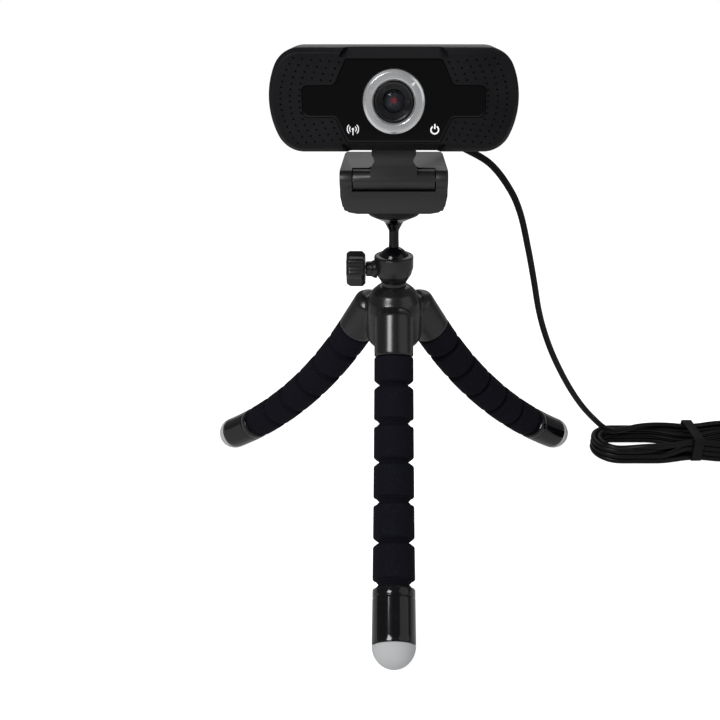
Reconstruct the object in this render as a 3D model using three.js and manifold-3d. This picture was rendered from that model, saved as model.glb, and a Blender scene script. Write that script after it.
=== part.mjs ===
// A small webcam held by its monitor clip on a mini tripod with three flexible foam legs.
// Millimetres, +Z up. The webcam looks along -Y. "left" and "right" are as seen from in front of it.
import * as THREE from 'three';
import { mergeVertices } from 'three/addons/utils/BufferGeometryUtils.js';
import Module from 'manifold-3d';

const wasm = await Module();
wasm.setup();

// ---------- driving dimensions ----------

const GAP = 0.3; // between pieces that touch

// legs
const FOAM_RADIUS = 8.2;
const LEG_LENGTH = 114; // along the centreline, from the hub's mouth to the middle of the tip's ball
const LEG_ROOT_RADIUS = 20; // from the tripod's axis
const LEG_SLOPE_ROOT = THREE.MathUtils.degToRad(57); // below horizontal, at the hub
const LEG_SLOPE_TIP = THREE.MathUtils.degToRad(32);
const LEG_AZIMUTHS = { front: -90, left: 150, right: 30 };
const GROOVES = 6;
const GROOVE_FIRST = 12;
const END_SLEEVE_LENGTH = 22; // from the last groove to the middle of the tip's ball
const GROOVE_PITCH = (LEG_LENGTH - GROOVE_FIRST - END_SLEEVE_LENGTH) / (GROOVES - 1);
const GROOVE_WIDTH = 3.2;
const GROOVE_DEPTH = 2.2;
const JOINT_GROOVES = [1, 3, 5]; // the grooves where the leg bends
const JOINT_GAP = 0.2; // a bending groove's width on the leg's centreline
const JOINT_FLARE = 0.37; // and how much wider it gets for each millimetre away from it
const WIRE_RADIUS = 1.5;
const WIRE_CLEARANCE = 0.4;
const WIRE_END_ROOM = 10; // between the wire's end and the middle of the tip's ball
const SPIGOT_LENGTH = 14; // of foam inside the hub's cup
const WIRE_START = 2 - SPIGOT_LENGTH;
const SPIGOT_RADIUS = 6.8;
const TIP_FLAT = 0.3; // worn off the ball of the tip by the table
const TIP_SPIGOT_RADIUS = 6;
const TIP_SPIGOT_LENGTH = 8;

// hub
const CUP_LENGTH = 20;
const CUP_EDGE = 2.5;
const HUB_RADIUS = 12;
const HUB_FLOOR = -2; // heights from the legs' roots
const HUB_SEAT_RADIUS = 5.6;
const HUB_SCREW_RADIUS = 1.5;
const HUB_SCREW_HEAD_RADIUS = 3.5;
const HUB_SCREW_HEAD_HEIGHT = 2;

// ball head
const BALL_RADIUS = 6.5;
const BALL_HEIGHT = 35.3; // from the legs' roots
const HUB_TOP = BALL_HEIGHT - BALL_RADIUS - 4;
const SOCKET_RADIUS = 8.3;
const SOCKET_RIM = 2.8; // above the ball's centre
const LOCK_DROP = 3.3; // the lock screw's axis, below the ball's centre
const LOCK_SCREW_RADIUS = 2;
const LOCK_BOSS_RADIUS = 3.2;
const LOCK_BOSS_REACH = 11.8;
const KNOB_RADIUS = 7.8;
const KNOB_LENGTH = 7.8;
const KNOB_LOBES = 8;
const KNOB_LOBE_DEPTH = 0.8;
const STEM_RADIUS = 2.05;
const STEM_TOP = 24.2; // the platform's top above the ball's centre
const PLATFORM_RADIUS = 11;
const PLATFORM_RIM = 3.7;
const PLATFORM_CONE = 7.5;
const PLATFORM_PAD = 0.9;
const CAMERA_SCREW_RADIUS = 3.1;
const CAMERA_SCREW_LENGTH = 5.2;

// clip
const CLIP_WIDTH = 41;
const LEG_PLATE_WIDTH = 40;
const LEG_PLATE_THICK = 9.6;
const LEG_PAD_WIDTH = 34;
const LEG_PAD_THICK = 1;
const INSERT_RADIUS = 4.2;
const INSERT_HEIGHT = 6;
const TOP_PLATE_THICK = 7;
const JAW_GAP = 0.4;
const LIP_FRONT = -19;
const LIP_THICK = 5;
const LIP_RISE = 0.5; // the lip's lower edge above the leg plate's lower face
const LIP_CORNER = 7;
const LIP_PAD_THICK = 0.9;
const HINGE_Y = 23;
const TOP_PLATE_BACK = HINGE_Y + 1;
const HINGE_RADIUS = 3.6;
const HINGE_Z = LEG_PLATE_THICK - HINGE_RADIUS - 0.1;
const LEG_PLATE_FRONT = LIP_FRONT + LIP_THICK + 0.5;
const LEG_PLATE_BACK = HINGE_Y - HINGE_RADIUS - 1;
const HINGE_KNUCKLE = 15.2;
const HINGE_EAR = 6;
const PIN_RADIUS = 1;
const PIN_CLEARANCE = 0.3;
const BARREL_RADIUS = 3.8;
const BARREL_LENGTH = 31;
const BARREL_Y = -16.5;
const BARREL_LIFT = 3.3; // above the top plate's lower face

// neck
const NECK_WIDTH = 17.6;
const NECK_WAIST = 13.3;
const NECK_DEPTH = 7;
const NECK_COLLAR_DEPTH = 10;
const NECK_RISE = 11.9; // collar's top above the barrel's axis
const SWIVEL_RADIUS = 1.7;
const SWIVEL_HEAD_RADIUS = 3.2;
const SWIVEL_HEAD_HEIGHT = 1.5;
const WASHER_RADIUS = 3.7;
const WASHER_THICK = 0.6;
const SWIVEL_DEPTH = 6.5; // of the screw in the neck

// webcam
const CAMERA_WIDTH = 88;
const CAMERA_HEIGHT = 35;
const CAMERA_DEPTH = 26;
const CAMERA_FRONT = -28.5; // its front face, from the tripod's axis
const CAMERA_END_RADIUS = 28;
const CAMERA_CORNER_RADIUS = 10;
const CAMERA_WALL = 2;
const CAMERA_REAR_ROUND = 5;
const BEZEL_DEPTH = 8;
const BEZEL_WALL = 3;
const BEZEL_CHAMFER = 1.5;
const BEZEL_CHAMFER_DEPTH = 2.2;
const BROW_HALF_WIDTH = 17.5; // the wider chamfer over and under the lens
const BROW_HEIGHT = 3.2;
const BROW_DEPTH = 5;
const PANEL_THICK = 1.4;
const PANEL_PROUD = 0.2;
const PANEL_HALF_HEIGHT = 13.75;
const PANEL_HALF_WIDTH = 16.5;
const PANEL_SHOULDER = 20.6;
const WING_HALF_WIDTH = CAMERA_WIDTH / 2 - 12;
const WING_HALF_HEIGHT = 5.2;
const RING_OUTER = 10.75;
const RING_PROUD = 2.5;
const RING_FLANGE = 1.2;
const BARREL_OUTER = 6.8; // of the lens
const RING_INNER = BARREL_OUTER + GAP;
const LENS_BARREL_FRONT = -1.5;
const LENS_RADIUS = 3.75;
const HOLDER_SIZE = 2 * (BARREL_OUTER + 1.7);
const HOLDER_DEPTH = 6.4;
const BOARD_Y = CAMERA_DEPTH - 7.3; // the board's front
const LENS_BARREL_BACK = BOARD_Y - 3.2;
const BOARD_HEIGHT = 22;
const BOARD_THICK = 1.2;
const SENSOR_SIZE = 7;
const LIGHT_X = 14.5;
const LIGHT_Z = -9.5;
const LIGHT_RADIUS = 1.5;
const MIC_X = CAMERA_WIDTH / 2 - 18;
const MIC_RADIUS = 2;
const CASE_SCREW_X = CAMERA_WIDTH / 2 - 10;
const BOARD_WIDTH = 2 * (CASE_SCREW_X - 4);
const CASE_SCREW_RADIUS = 1;
const CASE_SCREW_HEAD = 2.2;
const RELIEF_X = 10;
const RELIEF_Z = -12;
const RELIEF_LENGTH = 12.5;
const RELIEF_RADIUS = 3.4;

// cord
const CORD_RADIUS = 1.5;
const HANK_CENTRE = [153, 44];
const HANK_RUN = 60;
const HANK_RADIUS = 13.8;
const HANK_WAIST = 10;
const HANK_FLOOR = 1.2;
const HANK_HEIGHT = 11.6;
const TIE_X = 8; // from the hank's middle
const TIE_WIDTH = 5;
const TIE_THICK = 0.8;
const PLUG_BODY = [12, 18, 8]; // across, along, high
const PLUG_SHELL = [12, 11.8, 4.5];
const PLUG_SHELL_WALL = 0.4;
const PLUG_RELIEF_LENGTH = 12;

// ---------- finishes ----------

const finish = (color, roughness, metalness = 0) =>
	new THREE.MeshStandardMaterial({ color, roughness, metalness });
const foamFinish = finish(0x17181c, 0.85);
const tipFinish = finish(0xc9cbcd, 0.6);
const tripodPlastic = finish(0x0d0d0f, 0.3);
const clipPlastic = finish(0x1b1c1e, 0.45);
const bezelPlastic = finish(0x26272a, 0.5);
const shellPlastic = finish(0x101113, 0.4);
const glossPanel = finish(0x050506, 0.08);
const silver = finish(0xd5d7da, 0.25, 1);
const steel = finish(0x9a9da1, 0.35, 1);
const brass = finish(0xb08d45, 0.35, 1);
const rubber = finish(0x0b0b0c, 0.8);
const barrelBlack = finish(0x0c0c0e, 0.35);
const glass = finish(0x1a1c24, 0.03);
const boardGreen = finish(0x123a22, 0.5);
const lightPipe = finish(0xe8eef4, 0.3);
const cordRubber = finish(0x0e0e10, 0.5);

// ---------- solids ----------

/** A closed mesh of position and index only, with its faces out. */
function weld(geometry) {
	const bare = geometry.clone();
	bare.deleteAttribute('normal');
	bare.deleteAttribute('uv');
	const merged = mergeVertices(bare, 1e-4);
	const at = merged.attributes.position;
	const corner = [new THREE.Vector3(), new THREE.Vector3(), new THREE.Vector3()];
	const kept = [];
	let volume = 0;
	for (let i = 0; i < merged.index.count; i += 3) {
		const t = [0, 1, 2].map((k) => merged.index.getX(i + k));
		if (t[0] === t[1] || t[1] === t[2] || t[2] === t[0]) continue;
		t.forEach((v, k) => corner[k].fromBufferAttribute(at, v));
		volume += corner[0].dot(corner[1].clone().cross(corner[2]));
		kept.push(...t);
	}
	merged.setIndex(volume < 0 ? kept.reverse() : kept);
	return merged;
}

function toSolid(geometry) {
	const { attributes, index } = weld(geometry);
	return new wasm.Manifold(new wasm.Mesh({
		numProp: 3,
		vertProperties: new Float32Array(attributes.position.array),
		triVerts: new Uint32Array(index.array),
	}));
}

function toGeometry(solid) {
	const mesh = solid.getMesh();
	const geometry = new THREE.BufferGeometry();
	geometry.setAttribute('position', new THREE.BufferAttribute(new Float32Array(mesh.vertProperties), 3));
	geometry.setIndex([...mesh.triVerts]);
	return geometry;
}

const cut = (body, ...tools) =>
	toGeometry(tools.reduce((left, tool) => left.subtract(toSolid(tool)), toSolid(body)));
const join = (body, ...others) =>
	toGeometry(others.reduce((sum, other) => sum.add(toSolid(other)), toSolid(body)));
const common = (body, ...others) =>
	toGeometry(others.reduce((rest, other) => rest.intersect(toSolid(other)), toSolid(body)));

/** What lays a solid that is turned about Y along each axis. */
const ONTO = {
	x: new THREE.Matrix4().makeRotationZ(-Math.PI / 2),
	y: new THREE.Matrix4(),
	z: new THREE.Matrix4().makeRotationX(Math.PI / 2),
};

/** A profile of [radius, distance along the axis] turned about the x, y or z axis. */
function turned(profile, axis = 'z', sides = 20) {
	const points = profile.map(([r, along]) => new THREE.Vector2(r, along));
	return weld(new THREE.LatheGeometry(points, sides).applyMatrix4(ONTO[axis]));
}

/** A round bar or, with a bore, a tube. */
function rod(radius, from, to, axis = 'z', sides = 20, bore = 0) {
	const inner = bore > 0 ? [[bore, to], [bore, from], [radius, from]] : [[0, to]];
	const start = bore > 0 ? [[radius, from], [radius, to]] : [[0, from], [radius, from], [radius, to]];
	return turned([...start, ...inner], axis, sides);
}

function box([x0, x1], [y0, y1], [z0, z1]) {
	return new THREE.BoxGeometry(x1 - x0, y1 - y0, z1 - z0)
		.translate((x0 + x1) / 2, (y0 + y1) / 2, (z0 + z1) / 2);
}

/** A closed outline through corners [x, y, fillet]. */
function outline(corners) {
	const shape = new THREE.Shape();
	corners.forEach(([x, y, fillet = 0], i) => {
		const here = new THREE.Vector2(x, y);
		const [before, after] = [corners.at(i - 1), corners[(i + 1) % corners.length]]
			.map(([nx, ny]) => new THREE.Vector2(nx, ny).sub(here).setLength(fillet).add(here));
		if (i === 0) shape.moveTo(before.x, before.y);
		else shape.lineTo(before.x, before.y);
		if (fillet > 0) shape.quadraticCurveTo(x, y, after.x, after.y);
	});
	shape.closePath();
	return shape;
}

const rectangle = ([x0, x1], [y0, y1], fillet) =>
	outline([[x0, y0, fillet], [x1, y0, fillet], [x1, y1, fillet], [x0, y1, fillet]]);

const extruded = (shape, depth, options = {}) =>
	new THREE.ExtrudeGeometry(shape, { depth, bevelEnabled: false, curveSegments: 3, ...options });

/** An outline in X and Y, standing from z0 to z1. */
const standing = (shape, [z0, z1]) => extruded(shape, z1 - z0).translate(0, 0, z0);

/** An outline in X and Z, from the front y0 back to y1. */
const facing = (shape, [y0, y1]) => extruded(shape, y1 - y0).rotateX(Math.PI / 2).translate(0, y1, 0);

/** An outline in Y and Z, from x0 to x1. */
function sideways(shape, [x0, x1]) {
	const turn = new THREE.Matrix4().makeBasis(
		new THREE.Vector3(0, 1, 0),
		new THREE.Vector3(0, 0, 1),
		new THREE.Vector3(1, 0, 0),
	);
	return extruded(shape, x1 - x0).applyMatrix4(turn).translate(x0, 0, 0);
}

function add(group, name, geometry, material) {
	const mesh = new THREE.Mesh(weld(geometry), material);
	mesh.name = name;
	group.add(mesh);
	return mesh;
}

// ---------- legs ----------

const LEG_BEND = (LEG_SLOPE_ROOT - LEG_SLOPE_TIP) / LEG_LENGTH; // radians for each millimetre
const LEG_DROP = (Math.cos(LEG_SLOPE_TIP) - Math.cos(LEG_SLOPE_ROOT)) / LEG_BEND;
const LEG_ROOT_Z = FOAM_RADIUS - TIP_FLAT + LEG_DROP;
const WIRE_BORE = WIRE_RADIUS + WIRE_CLEARANCE;
const BORE_STEP = 11; // a bore's longest straight stretch
const WIRE_END = LEG_LENGTH - WIRE_END_ROOM;
const grooveAt = (i) => GROOVE_FIRST + GROOVE_PITCH * i;
const [HIP, KNEE, ANKLE] = JOINT_GROOVES.map(grooveAt);

/** Half the width of a bending groove at this distance from the centreline. */
const halfGap = (radius) => (JOINT_GAP + JOINT_FLARE * radius) / 2;

/** The leg's centreline in the plane of radius and height: place and slope at s, straight inside the hub. */
function centreline(s) {
	const slope = LEG_SLOPE_ROOT - LEG_BEND * Math.max(s, 0);
	const straight = Math.min(s, 0);
	return {
		slope,
		radius: LEG_ROOT_RADIUS + (Math.sin(LEG_SLOPE_ROOT) - Math.sin(slope)) / LEG_BEND
			+ straight * Math.cos(LEG_SLOPE_ROOT),
		height: -(Math.cos(slope) - Math.cos(LEG_SLOPE_ROOT)) / LEG_BEND - straight * Math.sin(LEG_SLOPE_ROOT),
	};
}

/** A profile of [radius, s] turned about the leg's centreline. */
function alongLeg(profile, sides = 16) {
	const geometry = turned(profile, 'y', sides);
	const at = geometry.attributes.position;
	for (let i = 0; i < at.count; i++) {
		const [across, s, aside] = [at.getX(i), at.getY(i), at.getZ(i)];
		const { slope, radius, height } = centreline(s);
		at.setXYZ(i, radius + across * Math.sin(slope), aside, height + across * Math.cos(slope));
	}
	return geometry;
}

/** Points down a bore, close enough together to follow the leg's curve. */
function boreLine(radius, from, to) {
	const steps = Math.ceil(Math.abs(to - from) / BORE_STEP);
	return Array.from({ length: steps + 1 }, (_, i) => [radius, from + ((to - from) * i) / steps]);
}

function foam(profileStart, start, end, groove) {
	const closing = [[FOAM_RADIUS, end - halfGap(FOAM_RADIUS)]];
	const bore = boreLine(WIRE_BORE, end - halfGap(WIRE_BORE), start);
	return alongLeg([
		...profileStart,
		[FOAM_RADIUS, groove - GROOVE_WIDTH / 2],
		[FOAM_RADIUS - GROOVE_DEPTH, groove],
		[FOAM_RADIUS, groove + GROOVE_WIDTH / 2],
		...closing,
		...bore,
		profileStart[0],
	]);
}

function upperFoam() {
	const start = [
		[SPIGOT_RADIUS, -SPIGOT_LENGTH],
		[SPIGOT_RADIUS, GAP],
		[FOAM_RADIUS, GAP],
	];
	return foam(start, -SPIGOT_LENGTH, HIP, grooveAt(0));
}

function foamBetween(from, to, groove) {
	const start = [[FOAM_RADIUS, from + halfGap(FOAM_RADIUS)]];
	return foam(start, from + halfGap(WIRE_BORE), to, groove);
}

function endSleeve() {
	const end = LEG_LENGTH - GAP;
	const step = LEG_LENGTH - TIP_SPIGOT_LENGTH - GAP;
	const start = [FOAM_RADIUS, ANKLE + halfGap(FOAM_RADIUS)];
	return alongLeg([
		start,
		[FOAM_RADIUS, (ANKLE + end) / 2],
		[FOAM_RADIUS, end],
		[TIP_SPIGOT_RADIUS + GAP, end],
		[TIP_SPIGOT_RADIUS + GAP, step],
		...boreLine(WIRE_BORE, step, ANKLE + halfGap(WIRE_BORE)),
		start,
	]);
}

function tip() {
	const rounds = 6;
	const ball = Array.from({ length: rounds + 1 }, (_, i) => {
		const angle = (i / rounds) * (Math.PI / 2);
		return [FOAM_RADIUS * Math.cos(angle), LEG_LENGTH + FOAM_RADIUS * Math.sin(angle)];
	});
	const spigot = LEG_LENGTH - TIP_SPIGOT_LENGTH;
	const shank = [[0, spigot], [TIP_SPIGOT_RADIUS, spigot], [TIP_SPIGOT_RADIUS, LEG_LENGTH]];
	const whole = alongLeg([...shank, ...ball]);
	const foot = LEG_ROOT_RADIUS + LEG_LENGTH;
	const table = box([0, 2 * foot], [-foot, foot], [-LEG_ROOT_Z - FOAM_RADIUS, -LEG_ROOT_Z]);
	return cut(whole, table);
}

function leg(side) {
	const group = new THREE.Group();
	group.position.z = LEG_ROOT_Z;
	group.rotation.z = THREE.MathUtils.degToRad(LEG_AZIMUTHS[side]);
	add(group, `${side}_wire`, alongLeg(wireProfile(), 8), steel);
	add(group, `${side}_upper_foam`, upperFoam(), foamFinish);
	add(group, `${side}_middle_foam`, foamBetween(HIP, KNEE, grooveAt(2)), foamFinish);
	add(group, `${side}_lower_foam`, foamBetween(KNEE, ANKLE, grooveAt(4)), foamFinish);
	add(group, `${side}_end_sleeve`, endSleeve(), tripodPlastic);
	add(group, `${side}_tip`, tip(), tipFinish);
	return group;
}

function wireProfile() {
	return [[0, WIRE_START], ...boreLine(WIRE_RADIUS, WIRE_START, WIRE_END), [0, WIRE_END]];
}

// ---------- hub ----------

function hub() {
	const body = turned([
		[0, HUB_FLOOR],
		[HUB_RADIUS - 2, HUB_FLOOR],
		[HUB_RADIUS, HUB_FLOOR + 3],
		[HUB_RADIUS, HUB_TOP - 10.8],
		[HUB_RADIUS - 0.7, HUB_TOP - 6.4],
		[HUB_RADIUS - 2.5, HUB_TOP - 2.8],
		[HUB_RADIUS - 5, HUB_TOP - 0.6],
		[HUB_SEAT_RADIUS, HUB_TOP],
		[0, HUB_TOP],
	], 'z', 20);
	const cup = [
		[0, -CUP_LENGTH],
		[FOAM_RADIUS - CUP_EDGE, -CUP_LENGTH],
		[FOAM_RADIUS - CUP_EDGE * 0.3, -CUP_LENGTH + CUP_EDGE * 0.3],
		[FOAM_RADIUS, -CUP_LENGTH + CUP_EDGE],
		[FOAM_RADIUS, 0],
		[0, 0],
	];
	const mouth = FOAM_RADIUS; // the tool runs past the cup's mouth
	const hole = [
		[0, -SPIGOT_LENGTH - GAP],
		[SPIGOT_RADIUS + GAP, -SPIGOT_LENGTH - GAP],
		[SPIGOT_RADIUS + GAP, mouth],
		[0, mouth],
	];
	const azimuths = Object.values(LEG_AZIMUTHS).map(THREE.MathUtils.degToRad);
	const cups = azimuths.map((angle) => alongLeg(cup).rotateZ(angle));
	const holes = azimuths.map((angle) => alongLeg(hole).rotateZ(angle));
	const recess = HUB_FLOOR + HUB_SCREW_HEAD_HEIGHT + GAP;
	return cut(
		join(body, ...cups),
		...holes,
		rod(HUB_SCREW_HEAD_RADIUS + GAP, HUB_FLOOR - CUP_LENGTH, recess),
		rod(HUB_SCREW_RADIUS + GAP, HUB_FLOOR, HUB_TOP + GAP, 'z', 12),
	);
}

const HUB_SCREW_BITE = 2; // of the screw in the ball socket's foot

function hubScrew() {
	const head = HUB_FLOOR + HUB_SCREW_HEAD_HEIGHT;
	const end = HUB_TOP + GAP + HUB_SCREW_BITE;
	return turned([
		[0, HUB_FLOOR],
		[HUB_SCREW_HEAD_RADIUS, HUB_FLOOR],
		[HUB_SCREW_HEAD_RADIUS, head],
		[HUB_SCREW_RADIUS, head],
		[HUB_SCREW_RADIUS, end],
		[0, end],
	], 'z', 12);
}

// ---------- ball head, measured from the ball's centre ----------

const SOCKET_FLOOR = HUB_TOP + GAP - BALL_HEIGHT;
const CAVITY_RADIUS = BALL_RADIUS + GAP;

function ballSocket() {
	const rounds = 6;
	const rim = Math.asin(SOCKET_RIM / CAVITY_RADIUS);
	const cavity = Array.from({ length: rounds + 1 }, (_, i) => {
		const angle = rim - ((rim + Math.PI / 2) * i) / rounds;
		return [i === rounds ? 0 : CAVITY_RADIUS * Math.cos(angle), CAVITY_RADIUS * Math.sin(angle)];
	});
	const bowl = turned([
		[0, SOCKET_FLOOR],
		[HUB_SEAT_RADIUS - 0.2, SOCKET_FLOOR],
		[HUB_SEAT_RADIUS - 0.2, SOCKET_FLOOR + 1.6],
		[SOCKET_RADIUS - 0.8, -5.4],
		[SOCKET_RADIUS, -2.5],
		[SOCKET_RADIUS, SOCKET_RIM - 0.7],
		[SOCKET_RADIUS - 0.7, SOCKET_RIM],
		...cavity,
	]);
	const boss = rod(LOCK_BOSS_RADIUS, -LOCK_BOSS_REACH, -CAVITY_RADIUS, 'x', 20).translate(0, 0, -LOCK_DROP);
	const bore = rod(LOCK_SCREW_RADIUS + GAP, -LOCK_BOSS_REACH - GAP, -CAVITY_RADIUS / 2, 'x', 16);
	const holeEnd = SOCKET_FLOOR + HUB_SCREW_BITE + GAP;
	const screwHole = rod(HUB_SCREW_RADIUS + GAP, SOCKET_FLOOR - GAP, holeEnd, 'z', 12);
	return cut(join(bowl, boss), bore.translate(0, 0, -LOCK_DROP), screwHole);
}

const KNOB_FACE = -LOCK_BOSS_REACH - GAP;
const LOCK_SCREW_TIP = -BALL_RADIUS - GAP - 0.1;
const LOCK_SCREW_DEPTH = 4; // in the knob

function lockKnob() {
	const points = Array.from({ length: KNOB_LOBES * 4 }, (_, i) => {
		const angle = (i / (KNOB_LOBES * 4)) * 2 * Math.PI;
		const radius = KNOB_RADIUS - (KNOB_LOBE_DEPTH / 2) * (1 - Math.cos(angle * KNOB_LOBES));
		return new THREE.Vector2(radius * Math.cos(angle), radius * Math.sin(angle));
	});
	const body = sideways(new THREE.Shape(points), [KNOB_FACE - KNOB_LENGTH, KNOB_FACE]);
	const edge = 1.2;
	const rounded = turned([
		[0, KNOB_FACE - KNOB_LENGTH],
		[KNOB_RADIUS - edge, KNOB_FACE - KNOB_LENGTH],
		[KNOB_RADIUS + 0.1, KNOB_FACE - KNOB_LENGTH + edge],
		[KNOB_RADIUS + 0.1, KNOB_FACE - edge],
		[KNOB_RADIUS - edge, KNOB_FACE],
		[0, KNOB_FACE],
	], 'x', 24);
	const bore = rod(LOCK_SCREW_RADIUS + GAP, KNOB_FACE - LOCK_SCREW_DEPTH - GAP, KNOB_FACE + GAP, 'x', 16);
	return cut(common(body, rounded), bore);
}

function ball() {
	const rounds = 9;
	return turned(Array.from({ length: rounds + 1 }, (_, i) => {
		const angle = (i / rounds - 0.5) * Math.PI;
		return [i % rounds === 0 ? 0 : BALL_RADIUS * Math.cos(angle), BALL_RADIUS * Math.sin(angle)];
	}), 'z', 18);
}

function stem() {
	const rim = STEM_TOP - PLATFORM_RIM;
	const cone = rim - PLATFORM_CONE;
	const seat = STEM_TOP - PLATFORM_PAD;
	return turned([
		[0, BALL_RADIUS + GAP],
		[STEM_RADIUS, BALL_RADIUS + GAP],
		[STEM_RADIUS, cone],
		[STEM_RADIUS * 2, rim - PLATFORM_CONE * 0.4],
		[PLATFORM_RADIUS - 0.6, rim],
		[PLATFORM_RADIUS, rim + 0.8],
		[PLATFORM_RADIUS, STEM_TOP],
		[PLATFORM_RADIUS - 0.8, STEM_TOP],
		[PLATFORM_RADIUS - 0.8, seat - GAP],
		[CAMERA_SCREW_RADIUS + GAP, seat - GAP],
		[CAMERA_SCREW_RADIUS + GAP, STEM_TOP - PLATFORM_RIM],
		[0, STEM_TOP - PLATFORM_RIM],
	]);
}

function platformPad() {
	const radius = PLATFORM_RADIUS - 0.8 - GAP;
	return rod(radius, STEM_TOP - PLATFORM_PAD, STEM_TOP, 'z', 20, CAMERA_SCREW_RADIUS + GAP);
}

function cameraScrew() {
	const top = STEM_TOP + CAMERA_SCREW_LENGTH;
	return turned([
		[0, STEM_TOP - PLATFORM_RIM + GAP],
		[CAMERA_SCREW_RADIUS, STEM_TOP - PLATFORM_RIM + GAP],
		[CAMERA_SCREW_RADIUS, top - 0.6],
		[CAMERA_SCREW_RADIUS - 0.6, top],
		[0, top],
	], 'z', 16);
}

// ---------- clip, measured from the leg plate's lower face on the tripod's axis ----------

const PLATE_FLOOR = LEG_PLATE_THICK + JAW_GAP;
const PLATE_TOP = PLATE_FLOOR + TOP_PLATE_THICK;
const BARREL_Z = PLATE_FLOOR + BARREL_LIFT;
const LIP_BACK = LIP_FRONT + LIP_THICK;
const JAW_SLOPE_FOOT = 4.9; // where the web behind the lip starts
const JAW_SLOPE_RUN = 5.6;
const PAD_FRONT = LIP_BACK + JAW_SLOPE_RUN + 2.4;
const PAD_MARGIN = 2;
const halfClip = CLIP_WIDTH / 2;
const halfLeg = LEG_PLATE_WIDTH / 2;

const clipPad = (clearance) => rectangle(
	[-LEG_PAD_WIDTH / 2 - clearance, LEG_PAD_WIDTH / 2 + clearance],
	[PAD_FRONT - clearance, LEG_PLATE_BACK - PAD_MARGIN + clearance],
	3,
);

function clipLeg() {
	const plan = outline([
		[-halfLeg, LEG_PLATE_FRONT, 5],
		[halfLeg, LEG_PLATE_FRONT, 5],
		[halfLeg, LEG_PLATE_BACK - 4, 2],
		[halfLeg - 3, LEG_PLATE_BACK, 1],
		[-halfLeg + 3, LEG_PLATE_BACK, 1],
		[-halfLeg, LEG_PLATE_BACK - 4, 2],
	]);
	const slope = JAW_SLOPE_FOOT - JAW_GAP - GAP;
	const side = outline([
		[LEG_PLATE_FRONT, 1.5],
		[LEG_PLATE_FRONT + 1.5, 0],
		[LEG_PLATE_BACK - 1.5, 0],
		[LEG_PLATE_BACK, 1.5],
		[LEG_PLATE_BACK, LEG_PLATE_THICK],
		[LIP_BACK + JAW_SLOPE_RUN + 1, LEG_PLATE_THICK],
		[LEG_PLATE_FRONT, slope],
	]);
	const plate = common(
		standing(plan, [0, LEG_PLATE_THICK]),
		sideways(side, [-halfLeg - 1, halfLeg + 1]),
	);
	const half = HINGE_KNUCKLE / 2;
	const tabHeights = [HINGE_Z - HINGE_RADIUS + 1, HINGE_Z + HINGE_RADIUS];
	const tab = box([-half, half], [LEG_PLATE_BACK - 3, HINGE_Y], tabHeights);
	const knuckle = rod(HINGE_RADIUS, -half, half, 'x', 16).translate(0, HINGE_Y, HINGE_Z);
	const pin = rod(PIN_RADIUS + PIN_CLEARANCE, -halfLeg, halfLeg, 'x', 10).translate(0, HINGE_Y, HINGE_Z);
	return cut(
		join(plate, tab, knuckle),
		pin,
		rod(INSERT_RADIUS + GAP, -GAP, INSERT_HEIGHT + GAP, 'z', 20),
		standing(clipPad(GAP), [LEG_PLATE_THICK - LEG_PAD_THICK - GAP, LEG_PLATE_THICK + 1]),
	);
}

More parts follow.
